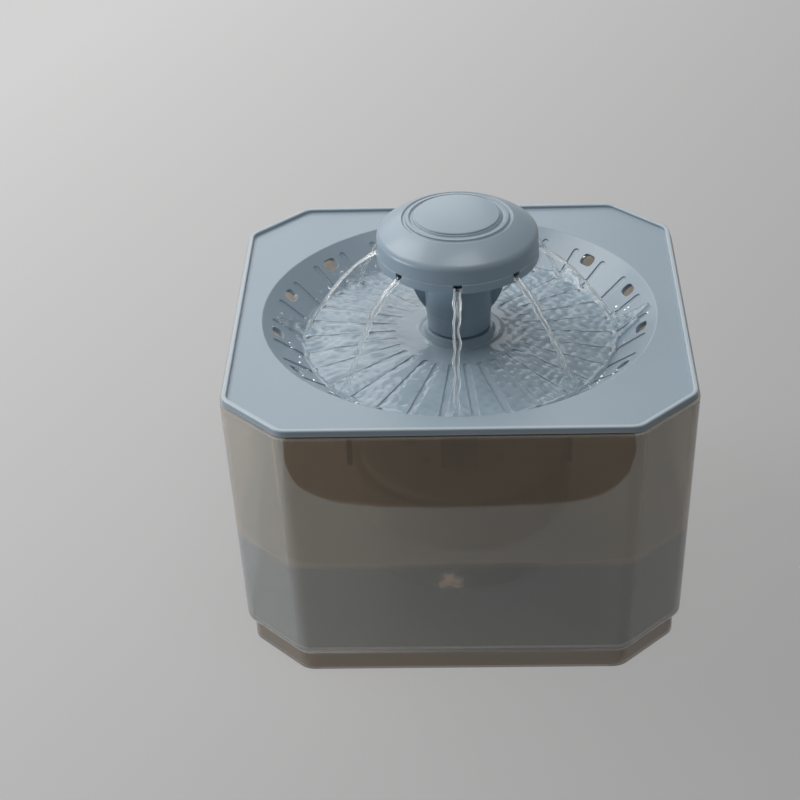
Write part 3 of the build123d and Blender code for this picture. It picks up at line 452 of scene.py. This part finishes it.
def smokePlasticMaterial(values):
    # smoke-brown moulding, polished outside and frosted inside; water on the inside clears the frost
    material, tree, place, ending = newMaterial("smokePlastic")
    parts = addNode(tree, "ShaderNodeSeparateXYZ", (-2100, 0), {0: place})
    facing = addNode(tree, "ShaderNodeTexCoord", (-2300, 300)).outputs["Normal"]
    flatPlace = vectorNode(tree, "MULTIPLY", (-2100, 500), place, (1.0, 1.0, 0.0))
    outward = vectorNode(tree, "DOT_PRODUCT", (-1900, 400), flatPlace, facing)
    inner = rangeNode(tree, (-1700, 400), outward, -0.004, 0.004, 1.0, 0.0)
    patch = wetPatchMask(tree, parts, place, values["patch"])
    under = rangeNode(
        tree, (-1150, 0), parts.outputs["Z"], values["waterLine"] - 0.0003, values["waterLine"] + 0.0003, 1.0, 0.0,
    )
    grain = placeGroup(tree, mouldGrain, (-1150, 700), {"Place": place, "Grain Size": 1600.0, "Cloud Size": 30.0})
    dryTint = mixColor(tree, (-900, 300), patch, values["dryColor"], values["patchColor"])
    wetTint = mixColor(tree, (-700, 300), under, dryTint, values["underColor"])
    footMask = rangeNode(tree, (-900, 550), parts.outputs["Z"], 0.0072, 0.0092, 1.0, 0.0)
    footTint = mixColor(tree, (-500, 300), footMask, wetTint, values["footColor"])
    # painted warm glow on the front wall
    spot = warmGlowMask(tree, place, values["spot"])
    glowTint = mixColor(tree, (-400, 400), spot, footTint, values["glowColor"])
    # painted highlights: a pale band at the tank's top rim, and a pale outline where the wall turns away from view
    rim = rangeNode(tree, (-900, 900), parts.outputs["Z"], values["rimStart"] - 0.0003, values["rimStart"] + 0.0003)
    grazing = addNode(tree, "ShaderNodeLayerWeight", (-900, 1100), {"Blend": 0.5})
    steep = mathNode(tree, "POWER", (-700, 1100), grazing.outputs["Facing"], 4.0)
    outline = mathNode(tree, "MULTIPLY", (-500, 1100), steep, values["outlineHighlightShare"])
    rimHighlight = mathNode(tree, "MULTIPLY", (-500, 900), rim, values["rimHighlightShare"])
    pale = mathNode(tree, "MAXIMUM", (-300, 1000), rimHighlight, outline)
    glowTint = mixColor(tree, (-350, 600), pale, glowTint, values["tankHighlightColor"])
    tint = placeGroup(
        tree, tintVariation, (-300, 300), {"Color": glowTint, "Mask": grain.outputs["Cloud"], "Amount": 0.05},
    )
    dryFrost = rangeNode(tree, (-850, -100), patch, 0.0, 1.0, values["frost"], values["clearInside"], smooth=False)
    frost = mixValue(tree, (-700, -100), under, dryFrost, values["underFrost"])
    roughness = mixValue(tree, (-500, -100), inner, values["polish"], frost)
    flow = noiseNode(tree, (-600, -500), place, 28.0, 1.0)
    bump = bumpNode(tree, (-300, -300), flow.outputs["Fac"], 0.3, 0.0004)
    shader = addNode(tree, "ShaderNodeBsdfPrincipled", (0, 0), {
        "Base Color": tint.outputs["Color"], "Roughness": roughness, "IOR": 1.49,
        "Transmission Weight": values["transmission"], "Normal": bump,
    })
    letLightThrough(tree, shader, ending, values["lightTint"], 0.9, (400, 0))
    return material


smokeFinish = {
    "dryColor": (0.575, 0.535, 0.49, 1), "patchColor": (0.33, 0.25, 0.175, 1),
    "underColor": (0.465, 0.475, 0.475, 1), "footColor": (0.30, 0.255, 0.21, 1), "lightTint": (1.0, 0.95, 0.90, 1),
    "frost": 0.85, "underFrost": 0.75, "clearInside": 0.05, "polish": 0.12, "transmission": 0.69,
    "waterLine": 0.0558,
    "spot": {
        "middle": (-0.0042, -0.0915, 0.0480), "core": 0.0006, "radius": 0.0085, "squeeze": 1.2, "strength": 0.9,
        "bendSize": 260.0, "bend": 0.012,
    },
    # the glow and pale colours are a painted glow and painted highlights
    "glowColor": (1.0, 0.86, 0.74, 1), "rimStart": 0.1192, "rimHighlightShare": 0.35, "outlineHighlightShare": 0.8,
    "tankHighlightColor": (0.88, 0.89, 0.90, 1),
    "patch": {
        "halfWidth": 0.0682, "top": 0.120, "drop": 0.0335, "squareness": 3.7, "waverSize": 75.0, "waver": 0.16,
        "edgeInside": 1.06, "edgeOutside": 1.10,
    },
}


def clearWaterMaterial(name, values):
    # clear water: refracting, with a faint ripple in its normal
    material, tree, place, ending = newMaterial(name)
    ripple = noiseNode(tree, (-900, -200), place, values["rippleSize"])
    bump = bumpNode(tree, (-500, -200), ripple.outputs["Fac"], values["rippleStrength"], 0.0003)
    shader = addNode(tree, "ShaderNodeBsdfPrincipled", (0, 0), {
        "Base Color": values["color"], "Roughness": values["roughness"], "IOR": 1.333,
        "Transmission Weight": values["transmission"], "Normal": bump,
    })
    letLightThrough(tree, shader, ending, values["lightTint"], 0.95, (400, 0))
    return material


def flowingWaterMaterial(values):
    # clear water tinted by painted light and shade: painted caustics and lit sides on the crests, painted shade in
    # the hollows
    material, tree, place, ending = newMaterial("flowingWater")
    paintedCaustic = addNode(tree, "ShaderNodeAttribute", (-1100, 200), {}, attribute_name="paintedCaustic")
    share = rangeNode(tree, (-800, 200), paintedCaustic.outputs["Fac"], values["low"], values["high"])
    tint = mixColor(tree, (-500, 200), share, values["causticShadeColor"], values["causticLitColor"])
    ripple = noiseNode(tree, (-900, -200), place, values["rippleSize"])
    bump = bumpNode(tree, (-500, -200), ripple.outputs["Fac"], values["rippleStrength"], 0.0003)
    shader = addNode(tree, "ShaderNodeBsdfPrincipled", (0, 0), {
        "Base Color": tint, "Roughness": values["roughness"], "IOR": 1.36, "Transmission Weight": 0.97,
        "Normal": bump,
    })
    letLightThrough(tree, shader, ending, values["lightTint"], 0.95, (400, 0))
    return material


# the hollow and crest colours are painted shade and painted light on the water
flowFinish = {
    "causticShadeColor": (0.50, 0.58, 0.62, 1), "causticLitColor": (1.0, 1.0, 1.0, 1), "low": 0.1, "high": 0.9,
    "roughness": 0.02, "rippleSize": 200.0, "rippleStrength": 0.10, "lightTint": (0.97, 0.98, 0.98, 1),
}
waterFinish = {
    "color": (0.97, 0.985, 0.99, 1), "roughness": 0.02, "rippleSize": 260.0, "rippleStrength": 0.25,
    "lightTint": (0.95, 0.97, 0.98, 1), "transmission": 1.0,
}
fallFinish = {
    "color": (1.0, 1.0, 1.0, 1), "roughness": 0.03, "rippleSize": 300.0, "rippleStrength": 0.2,
    "lightTint": (0.95, 0.97, 0.98, 1), "transmission": 0.82,
}
tankWaterFinish = {
    "color": (0.80, 0.86, 0.86, 1), "roughness": 0.03, "rippleSize": 60.0, "rippleStrength": 0.2,
    "lightTint": (0.85, 0.9, 0.9, 1), "transmission": 1.0,
}


def clearSiliconeMaterial(values):
    # milky silicone: partly see-through, soft
    material, tree, place, ending = newMaterial("clearSilicone")
    cloud = noiseNode(tree, (-900, 0), place, 150.0, 3.0)
    tint = placeGroup(
        tree, tintVariation, (-500, 100), {"Color": values["color"], "Mask": cloud.outputs["Fac"], "Amount": 0.05},
    )
    roughness = mathNode(tree, "MULTIPLY_ADD", (-500, -100), cloud.outputs["Fac"], 0.15, values["roughness"])
    shader = addNode(tree, "ShaderNodeBsdfPrincipled", (0, 0), {
        "Base Color": tint.outputs["Color"], "Roughness": roughness, "IOR": 1.41,
        "Transmission Weight": values["transmission"],
    })
    letLightThrough(tree, shader, ending, (0.9, 0.9, 0.9, 1), 0.5, (400, 0))
    return material


siliconeFinish = {"color": (0.78, 0.8, 0.8, 1), "roughness": 0.3, "transmission": 0.6}

trayPlastic = mouldedPlastic("blueGreyPlastic", blueGreyFinish)
slotMaterials = {
    "tray_plastic": trayPlastic,
    "tank_plastic": smokePlasticMaterial(smokeFinish),
    "basket_plastic": mouldedPlastic("basketPlastic", basketFinish),
    "filter_foam": filterFoamMaterial(foamFinish),
    "pump_plastic": mouldedPlastic("pumpPlastic", pumpFinish),
    "rotor_plastic": mouldedPlastic("rotorPlastic", rotorFinish),
    "soft_rubber": mouldedPlastic("softRubber", rubberFinish),
    "clear_silicone": clearSiliconeMaterial(siliconeFinish),
    "ferrite": mouldedPlastic("magnetFerrite", ferriteFinish),
    "shaft_steel": metalMaterial("groundSteel", shaftFinish),
    "laminations": metalMaterial("laminatedSteel", laminationFinish),
    "copper_winding": metalMaterial("copperWinding", windingFinish),
}
clearWater = clearWaterMaterial("clearWater", waterFinish)
fallingWater = clearWaterMaterial("fallingWater", fallFinish)
flowingWater = flowingWaterMaterial(flowFinish)
tankWaterClear = clearWaterMaterial("tankWaterClear", tankWaterFinish)

for part in frame["record"]["subparts"]:
    piece = nodes[part["node"]]
    for slot in piece.material_slots:
        slot.material = slotMaterials[part["material_slot"]]


def gridFaces(rows, columns, roundRows=False, roundColumns=False):
    # four corners of each cell of a grid, closed round a direction where it is asked
    down = np.arange(rows if roundRows else rows - 1)
    along = np.arange(columns if roundColumns else columns - 1)
    r, c = np.meshgrid(down, along, indexing="ij")
    r2, c2 = (r + 1) % rows, (c + 1) % columns
    cells = np.stack([r * columns + c, r * columns + c2, r2 * columns + c2, r2 * columns + c], axis=-1)
    return cells.reshape(-1, 4)


def makePiece(name, points, faces, material):
    # a smooth mesh at the origin from arrays of points and faces
    mesh = bpy.data.meshes.new(name)
    mesh.from_pydata(points.reshape(-1, 3).tolist(), [], faces if isinstance(faces, list) else faces.tolist())
    mesh.polygons.foreach_set("use_smooth", np.ones(len(mesh.polygons), dtype=bool))
    mesh.update()
    mesh.materials.append(material)
    piece = bpy.data.objects.new(name, mesh)
    bpy.context.collection.objects.link(piece)
    return piece


def wander(x, y, count, wave, seed):
    # smooth noise between -1 and 1: a sum of sine waves of about one length in many directions
    rng = np.random.default_rng(seed)
    total = np.zeros(np.broadcast(x, y).shape)
    for number in range(count):
        turn, shift = rng.uniform(0, 2 * np.pi, 2)
        size = 2 * np.pi / (wave * rng.uniform(0.7, 1.5))
        total = total + np.sin(size * (x * np.cos(turn) + y * np.sin(turn)) + shift)
    return total / np.sqrt(count) / 1.4


# where the eight falls of water meet the dish, in millimetres,
# how hard each one splashes, and how straight it falls
landings = {
    "left": (-66.4, 3.7, 1.6, 0.42), "frontLeft": (-46.3, -42.8, 1.1, 0.21), "front": (-1.1, -66.5, 1.0, 0.05),
    "frontRight": (46.5, -41.0, 1.4, 0.6), "right": (68.3, 3.0, 1.7, 0.3), "backRight": (45.5, 45.0, 1.0, 0.3),
    "back": (0.5, 64.0, 1.0, 0.3), "backLeft": (-45.5, 44.5, 1.1, 0.3),
}

dishShape = {
    "collarRadius": 16.4, "collarZ": 111.5, "floorRadius": 66.5, "floorZ": 108.5, "rimRadius": 83.8, "rimZ": 122.0,
    "innerRadius": 15.0, "cornerSoftness": 0.6,
}
filmShape = {
    "rings": 118, "spokes": 800, "thickness": 1.6, "thinnest": 0.15, "edgeRadius": 67.8, "edgeWaver": 0.35,
    "edgeBend": 0.4, "edgeRound": 0.9, "tongue": 1.15, "tongueStart": 60.0, "tongueLimit": 1.2, "tongueWidth": 0.09,
    "streak": 0.26, "streakWave": 4.2, "ripple": 0.34, "rippleWave": 4.4, "swell": 0.22, "swellWave": 13.0,
    "groove": 0.42, "grooveCount": 30, "grooveInner": 28.0, "ringHeight": 0.40, "ringWave": 3.6, "ringReach": 7.0,
    "crownHeight": 1.3, "crownRadius": 2.4, "crownWidth": 0.9, "collarRing": 0.6, "collarRingRadius": 17.4,
    "collarRingWidth": 0.8, "causticStart": 0.62, "causticWave": 0.5, "causticFurrow": 0.25, "causticFlute": 0.4,
    "causticCollar": 0.5, "keySide": (-0.95, 0.3), "litSideShare": 0.8,
}


def dishSurface(radius):
    # the dish seen in section: the higher of two straight lines, the floor's cone and the wall, rounded where they
    # meet: (cone + wall + sqrt((cone - wall)^2 + softness^2)) / 2
    floorRadius, floorZ = dishShape["floorRadius"], dishShape["floorZ"]
    floorSlope = (floorZ - dishShape["collarZ"]) / (floorRadius - dishShape["collarRadius"])
    wallSlope = (dishShape["rimZ"] - floorZ) / (dishShape["rimRadius"] - floorRadius)
    cone = dishShape["collarZ"] + (radius - dishShape["collarRadius"]) * floorSlope
    wall = floorZ + (radius - floorRadius) * wallSlope
    return 0.5 * (cone + wall + np.sqrt((cone - wall) ** 2 + dishShape["cornerSoftness"] ** 2))


def fadeIn(value, start, length):
    # 0 up to the start, then rising evenly to 1 over the length
    return np.clip((value - start) / length, 0, 1)


def filmEdge(angle, values):
    # the film's outline: a circle that wavers, with a tongue pushed up the wall by each fall
    waver = values["edgeWaver"] * np.cos(26 * angle + 1.5 * np.sin(3 * angle))
    reach = values["edgeRadius"] + waver + values["edgeBend"] * np.sin(5 * angle + 1)
    for x, y, force, straight in landings.values():
        off = (angle - np.arctan2(y, x) + np.pi) % (2 * np.pi) - np.pi
        tongue = max(np.hypot(x, y) - values["tongueStart"], 0.5) * min(force, values["tongueLimit"])
        bump = np.exp(-(off / values["tongueWidth"]) ** 2) * (1 + 0.25 * np.sin(60 * off))
        reach = reach + values["tongue"] * tongue * bump
    return reach


def filmWaves(x, y, radius, angle, values):
    # streaks drawn out along the flow at the left, short round waves at the right, a swell under
    # both, and furrows over the flutes at the front: |cos(count * angle / 2)|^14 with a sway
    atRight = np.clip(0.5 + 1.3 * np.cos(angle + 0.15), 0, 1)
    atFront = np.clip(-0.4 - 1.8 * np.sin(angle + 0.1), 0, 1) + 0 * radius
    streaks = wander(radius * 0.22, angle * 42.0, 16, values["streakWave"], 8)
    rounds = wander(x, y, 26, values["rippleWave"], 18)
    rounds = rounds - 0.35 * np.abs(rounds)  # flatter crests
    streaks = streaks * (1.0 - 0.6 * atRight) * (1 - 0.5 * atFront) * fadeIn(radius, 28.0, 12.0)
    rounds = rounds * (0.42 + 0.58 * atRight) * (1 - 0.4 * atFront) * fadeIn(radius, 18.0, 8.0)
    wave = values["streak"] * streaks + values["ripple"] * rounds
    wave = wave + values["swell"] * wander(x, y, 9, values["swellWave"], 3)
    sway = 0.75 * wander(x, y, 9, 9.0, 5) + 0.45 * wander(x, y, 9, 4.0, 6)
    furrow = np.abs(np.cos(0.5 * (values["grooveCount"] * angle + sway))) ** 14
    furrow = furrow * fadeIn(radius, values["grooveInner"], 3.0) * (0.2 + 0.8 * atFront) * (1 - 0.7 * atRight)
    return wave, furrow


def splashWaves(x, y, inside, values):
    # round each fall: a crown, force * height * exp(-((r - radius)
    # / width)^2), and rings, cos(2 pi r / wave) * exp(-r / reach)
    wave = np.zeros(x.shape)
    for px, py, force, straight in landings.values():
        gap = np.hypot(x - px, y - py)
        around = np.arctan2(y - py, x - px)
        lobes = 1 + 0.35 * np.sin(5 * around + px) + 0.25 * np.sin(9 * around + py)
        crown = lobes * np.exp(-((gap - values["crownRadius"]) / values["crownWidth"]) ** 2)
        rings = np.cos(2 * np.pi * gap / values["ringWave"]) * np.exp(-gap / values["ringReach"])
        rings = rings * fadeIn(inside, 0.0, 3.0)
        wave = wave + force * (values["crownHeight"] * crown + values["ringHeight"] * rings)
    return wave


def dishWater(values):
    # polar grid: height = the dish's surface + a film with its waves. The painted caustic value, painted light and
    # shade for the water's colour, says how far a spot stands above its surroundings and leans to the light
    angle = np.linspace(0, 2 * np.pi, values["spokes"], endpoint=False)[None, :]
    share = np.linspace(0, 1, values["rings"])[:, None]
    reach = filmEdge(angle, values)
    radius = dishShape["innerRadius"] + share * (reach - dishShape["innerRadius"])
    x, y = radius * np.cos(angle), radius * np.sin(angle)
    ground = dishSurface(np.maximum(radius, dishShape["collarRadius"]))
    wave, furrow = filmWaves(x, y, radius, angle, values)
    wave = wave + splashWaves(x, y, reach - radius, values)
    collarRing = np.exp(-((radius - values["collarRingRadius"]) / values["collarRingWidth"]) ** 2)
    rounded = np.sqrt(np.clip(1 - (1 - fadeIn(reach - radius, 0.0, values["edgeRound"])) ** 2, 0, 1))
    film = values["thickness"] + (wave - values["groove"] * furrow) * fadeIn(radius, 20.0, 10.0)
    film = np.maximum(film + values["collarRing"] * collarRing, values["thinnest"]) * rounded
    leanOut = np.gradient(film, axis=0) / np.gradient(radius, axis=0)
    leanRound = np.gradient(film, axis=1) / (radius * 2 * np.pi / values["spokes"])
    sideX, sideY = values["keySide"]
    lean = leanOut * (sideX * np.cos(angle) + sideY * np.sin(angle))
    lean = lean + leanRound * (sideY * np.cos(angle) - sideX * np.sin(angle))
    flute = np.abs(np.cos(0.5 * values["grooveCount"] * angle)) ** 10
    flute = flute * fadeIn(radius, values["grooveInner"], 2.0)
    # painted light and shade: lighter over the flutes and the collar's ring, darker over the furrows
    paintedCaustic = values["causticStart"] + values["causticWave"] * wave - values["causticFurrow"] * furrow
    paintedCaustic = paintedCaustic + values["causticFlute"] * flute + values["causticCollar"] * collarRing
    paintedCaustic = np.clip(paintedCaustic - values["litSideShare"] * lean, 0, 1)
    points = np.stack([x, y, ground + film], axis=-1) * mm
    faces = gridFaces(values["rings"], values["spokes"], roundColumns=True)[:, ::-1]
    water = makePiece("dishWater", points, faces, flowingWater)
    water.data.attributes.new("paintedCaustic", "FLOAT", "POINT").data.foreach_set("value", paintedCaustic.ravel().astype(np.float32))
    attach(water, "tray")


dishWater(filmShape)
print("dish water laid")

fallShape = {
    "steps": 130, "around": 36, "notchRadius": 33.6, "notchZ": 150.9, "endZ": 109.5,
    "direction": {
        "left": 180, "frontLeft": 225, "front": 270, "frontRight": 315, "right": 0, "backRight": 45, "back": 90,
        "backLeft": 135,
    },
    "halfWidthTop": 1.8, "halfWidthEnd": 1.3, "bead": 0.66, "beadPlace": 0.72, "beadWidth": 0.19, "web": 0.09,
    "waveLength": 8.0, "waveDepth": 0.16, "wayLength": 52.0, "twist": 0.30, "twistLength": 31.0, "sway": 0.30,
    "swayLength": 13.0,
}


def fallPoints(landing, turn, number, values):
    # a thrown ribbon: out evenly, and down partly with the time and partly
    # with its square; its section has two beads joined by a thin web
    px, py, force, straight = landing
    startX = values["notchRadius"] * np.cos(np.radians(turn))
    startY = values["notchRadius"] * np.sin(np.radians(turn))
    time = np.linspace(0, 1, values["steps"])[:, None]
    section = np.linspace(0, 2 * np.pi, values["around"], endpoint=False)[None, :]
    wayX, wayY = px - startX, py - startY
    reach = np.hypot(wayX, wayY)
    outX, outY = wayX / reach, wayY / reach
    fallDepth = values["notchZ"] - values["endZ"]
    slopeDown = -fallDepth * (straight + 2 * (1 - straight) * time)
    size = np.hypot(reach, slopeDown)
    normalOut, normalUp = -slopeDown / size, reach / size  # square to the ribbon's face
    length = 2 * np.pi * values["wayLength"] * (0.55 * time + 0.45 * time ** 2)
    longPulse = np.sin(length / (1.9 * values["waveLength"]) + 2 * number)
    pulse = (np.sin(length / values["waveLength"] + number) + 0.5 * longPulse) * np.clip(time * 4, 0, 1)
    halfWidth = values["halfWidthTop"] + (values["halfWidthEnd"] - values["halfWidthTop"]) * time ** 0.8
    halfWidth = halfWidth * (1 + values["waveDepth"] * pulse)
    beads = np.exp(-((np.abs(np.cos(section)) - values["beadPlace"]) / values["beadWidth"]) ** 2)
    thick = (values["web"] + (values["bead"] - values["web"]) * beads) * np.sin(section) * (1 - 0.15 * pulse)
    twist = values["twist"] * np.sin(length / values["twistLength"] + 1.7 * number) * time
    across = halfWidth * np.cos(section) * np.cos(twist) - thick * np.sin(twist)
    through = halfWidth * np.cos(section) * np.sin(twist) + thick * np.cos(twist)
    side = across + values["sway"] * np.sin(length / values["swayLength"] + number) * np.clip(2 * time, 0, 1)
    forward = reach * time + through * normalOut
    x = startX + forward * outX - side * outY
    y = startY + forward * outY + side * outX
    z = values["notchZ"] - fallDepth * (straight * time + (1 - straight) * time ** 2) + through * normalUp
    body = np.stack([x, y, z + 0 * x], axis=-1)
    first, last = body[:1].mean(axis=1), body[-1:].mean(axis=1)
    return np.concatenate([body.reshape(-1, 3), first, last]) * mm


def fallFaces(values):
    # the ribbon's sides, and a fan of triangles closing each end
    steps, around = values["steps"], values["around"]
    sides = gridFaces(steps, around, roundColumns=True)
    ring = np.arange(around)
    after = (ring + 1) % around
    start = np.stack([np.full(around, steps * around), after, ring], axis=-1)
    base = (steps - 1) * around
    end = np.stack([np.full(around, steps * around + 1), base + ring, base + after], axis=-1)
    return sides.tolist() + start.tolist() + end.tolist()


def webFaces(values):
    # 1 on the thin middle of the ribbon, 0 on its two strands and its ends
    section = (np.arange(values["around"]) + 0.5) * 2 * np.pi / values["around"]
    thin = (np.abs(np.cos(section)) < values["beadPlace"] - 1.4 * values["beadWidth"]).astype(np.int32)
    return np.concatenate([np.tile(thin, values["steps"] - 1), np.zeros(2 * values["around"], np.int32)])


for number, (name, landing) in enumerate(landings.items()):
    points = fallPoints(landing, fallShape["direction"][name], number, fallShape)
    fall = makePiece("waterFall_" + name, points, fallFaces(fallShape), fallingWater)
    fall.data.materials.append(clearWater)
    fall.data.polygons.foreach_set("material_index", webFaces(fallShape))
    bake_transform(fall)  # stretched between dish and spout
print("falls of water hung:", len(landings))

tankWaterShape = {
    "level": 55.8, "rings": 40, "spokes": 420, "lidRadius": 45.25, "halfWidth": 91.3, "cornerDistance": 112.6,
    "squareness": 26.0, "swell": 0.22, "swellWave": 16.0, "climb": 0.9, "climbReach": 0.9,
}


def tankWaterPoints(values):
    # ring between the lid's edge and the tank's eight walls: radius = (sum over walls of (cos / distance)^n)^(-1/n)
    angle = np.linspace(0, 2 * np.pi, values["spokes"], endpoint=False)[None, :]
    share = np.linspace(0, 1, values["rings"])[:, None]
    total = np.zeros(angle.shape)
    for turn in range(8):
        distance = values["halfWidth"] if turn % 2 == 0 else values["cornerDistance"]
        total = total + (np.maximum(np.cos(angle - turn * np.pi / 4), 0) / distance) ** values["squareness"]
    reach = total ** (-1 / values["squareness"])
    radius = values["lidRadius"] + share * (reach - values["lidRadius"])
    x, y = radius * np.cos(angle), radius * np.sin(angle)
    climb = values["climb"] * np.exp(-(reach - radius) / values["climbReach"])  # the water creeps up the wall
    height = values["level"] + values["swell"] * wander(x, y, 10, values["swellWave"], 21) + climb
    return np.stack([x, y, height], axis=-1) * mm


tankWaterFaces = gridFaces(tankWaterShape["rings"], tankWaterShape["spokes"], roundColumns=True)[:, ::-1]
tankWater = makePiece("tankWater", tankWaterPoints(tankWaterShape), tankWaterFaces, tankWaterClear)
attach(tankWater, "base")
print("tank water laid")

dropShape = {
    "count": 230, "seed": 12, "smallest": 0.28, "largest": 1.0, "rows": 5, "around": 12, "radius": 71.0,
    "spread": 4.0, "innermost": 68.5, "outermost": 81.5, "turnSpread": 0.16, "flatness": 0.55,
}


def dropPoints(values):
    # flattened domes that sit on the dish's wall and floor, more of them near the falls
    rng = np.random.default_rng(values["seed"])
    count = values["count"]
    spots = np.array([landing[:2] for landing in landings.values()])
    chosen = spots[rng.integers(0, len(spots), count)]
    angle = np.arctan2(chosen[:, 1], chosen[:, 0]) + rng.normal(0, values["turnSpread"], count)
    radius = values["radius"] + rng.normal(0, values["spread"], count)
    radius = np.clip(radius, values["innermost"], values["outermost"])
    size = values["smallest"] + (values["largest"] - values["smallest"]) * rng.random(count) ** 3
    slope = np.arctan2(dishShape["rimZ"] - dishShape["floorZ"], dishShape["rimRadius"] - dishShape["floorRadius"])
    ground = dishShape["floorZ"] + (radius - dishShape["floorRadius"]) * np.tan(slope)
    tilt = np.linspace(0, np.pi / 2 * 1.08, values["rows"])[None, :, None]
    turn = np.linspace(0, 2 * np.pi, values["around"], endpoint=False)[None, None, :]
    size, angle = size[:, None, None], angle[:, None, None]
    flatX = size * np.sin(tilt) * np.cos(turn)
    flatY = size * np.sin(tilt) * np.sin(turn)
    rise = values["flatness"] * size * np.cos(tilt) + 0 * turn
    away = radius[:, None, None] + flatX * np.cos(slope) - rise * np.sin(slope)
    x = away * np.cos(angle) - flatY * np.sin(angle)
    y = away * np.sin(angle) + flatY * np.cos(angle)
    z = ground[:, None, None] + flatX * np.sin(slope) + rise * np.cos(slope)
    return np.stack([x, y, z], axis=-1) * mm


def dropFaces(values):
    # the faces of one dome, counted on for every drop
    one = gridFaces(values["rows"], values["around"], roundColumns=True)
    step = values["rows"] * values["around"]
    return (np.arange(values["count"])[:, None, None] * step + one[None]).reshape(-1, 4)


sprayDrops = makePiece("sprayDrops", dropPoints(dropShape), dropFaces(dropShape), clearWater)
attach(sprayDrops, "tray")
print("drops scattered")


floorLook = {
    "halfSize": 6.0, "middle": 0.452, "alongX": -0.34, "alongY": 0.190, "darkest": 0.30, "lightest": 0.66,
    "shadowShare": 0.22, "bounce": 0.22,
}


def makeFloor(values):
    # pale floor with a painted light falloff: its shade is middle + alongX * x + alongY * y between two limits, so
    # it runs from the upper left to the lower right; lamps reach a share of it, so it keeps a soft shadow
    half = values["halfSize"]
    points = np.array([(-half, -half, 0), (half, -half, 0), (half, half, 0), (-half, half, 0)], float)
    material, tree, place, ending = newMaterial("studioFloor")
    parts = addNode(tree, "ShaderNodeSeparateXYZ", (-1300, 0), {0: place})
    alongX = mathNode(tree, "MULTIPLY_ADD", (-1100, 100), parts.outputs["X"], values["alongX"], values["middle"])
    along = mathNode(tree, "MULTIPLY_ADD", (-900, 0), parts.outputs["Y"], values["alongY"], alongX)
    low = mathNode(tree, "MAXIMUM", (-700, 0), along, values["darkest"])
    shade = mathNode(tree, "MINIMUM", (-500, 0), low, values["lightest"])
    path = addNode(tree, "ShaderNodeLightPath", (-900, 500))
    seen = mathNode(tree, "MAXIMUM", (-700, 500), path.outputs["Is Camera Ray"], path.outputs["Is Glossy Ray"])
    seen = mathNode(tree, "MAXIMUM", (-500, 500), seen, path.outputs["Is Transmission Ray"])
    plain = mathNode(tree, "MULTIPLY", (-300, 500), seen, 1.0 - values["shadowShare"])
    glow = addNode(tree, "ShaderNodeEmission", (0, 200), {"Color": shade, "Strength": plain})
    seenShade = mathNode(tree, "MULTIPLY", (-300, 0), shade, values["shadowShare"])
    mixShade = mixValue(tree, (-100, 0), seen, values["bounce"], seenShade)
    matt = addNode(tree, "ShaderNodeBsdfDiffuse", (100, -100), {"Color": mixShade})
    both = addNode(tree, "ShaderNodeAddShader", (300, 0), {0: glow.outputs[0], 1: matt.outputs[0]})
    tree.links.new(both.outputs[0], ending.inputs["Surface"])
    floor = makePiece("studioFloor", points, np.array([[0, 1, 2, 3]]), material)


makeFloor(floorLook)

lamps = {
    "key": {
        "place": (-1.00, 0.40, 1.24), "aim": (0, 0, 0.11), "size": (0.95, 0.95), "power": 13.4, "spread": 180.0,
        "color": (1.0, 0.99, 0.97),
    },
    "side": {
        "place": (-0.70, -0.14, 0.05), "aim": (0, -0.03, 0.05), "size": (0.40, 0.08), "power": 0.34, "spread": 70.0,
        "color": (0.85, 0.93, 1.0),
    },
    "back": {
        "place": (-0.72, 2.20, 1.36), "aim": (0, 0, 0.11), "size": (2.0, 1.8), "power": 17.0, "spread": 180.0,
        "color": (0.98, 0.99, 1.0),
    },
    "top": {
        "place": (0.20, -0.35, 1.70), "aim": (0, 0, 0.11), "size": (0.8, 0.8), "power": 8.4, "spread": 180.0,
        "color": (0.98, 0.99, 1.0),
    },
}
worldLight = {
    "color": (0.98, 0.99, 0.95, 1), "strength": 0.13, "behindWater": 0.75, "inGloss": 0.30, "toCamera": 0.53,
}


def makeLamps(values, world):
    # area lamps turned to what they light, and a world whose strength depends on the kind of ray that meets it
    for name, lamp in values.items():
        light = bpy.data.lights.new(name + "Lamp", "AREA")
        light.shape, light.size, light.size_y = "RECTANGLE", lamp["size"][0], lamp["size"][1]
        light.energy, light.color, light.spread = lamp["power"], lamp["color"], np.radians(lamp["spread"])
        body = bpy.data.objects.new(name + "Lamp", light)
        body.location = lamp["place"]
        aim = Vector(lamp["aim"]) - body.location
        body.rotation_mode = "QUATERNION"
        body.rotation_quaternion = aim.to_track_quat("-Z", "Y")
        bpy.context.collection.objects.link(body)
    sky = bpy.data.worlds.new("studioWorld")
    sky.use_nodes = True
    tree = sky.node_tree
    path = addNode(tree, "ShaderNodeLightPath", (-900, 0))
    level = world["strength"]
    kinds = (("Is Transmission Ray", "behindWater"), ("Is Glossy Ray", "inGloss"), ("Is Camera Ray", "toCamera"))
    for number, (ray, value) in enumerate(kinds):
        level = mathNode(
            tree, "MULTIPLY_ADD", (200 * number - 650, 0), path.outputs[ray], world[value] - world["strength"],
            level,
        )
    backdrop = tree.nodes["Background"]
    backdrop.inputs["Color"].default_value = world["color"]
    tree.links.new(level, backdrop.inputs["Strength"])
    bpy.context.scene.world = sky


makeLamps(lamps, worldLight)
bpy.context.scene.view_settings.view_transform = "Standard"
print("floor and lamps set")
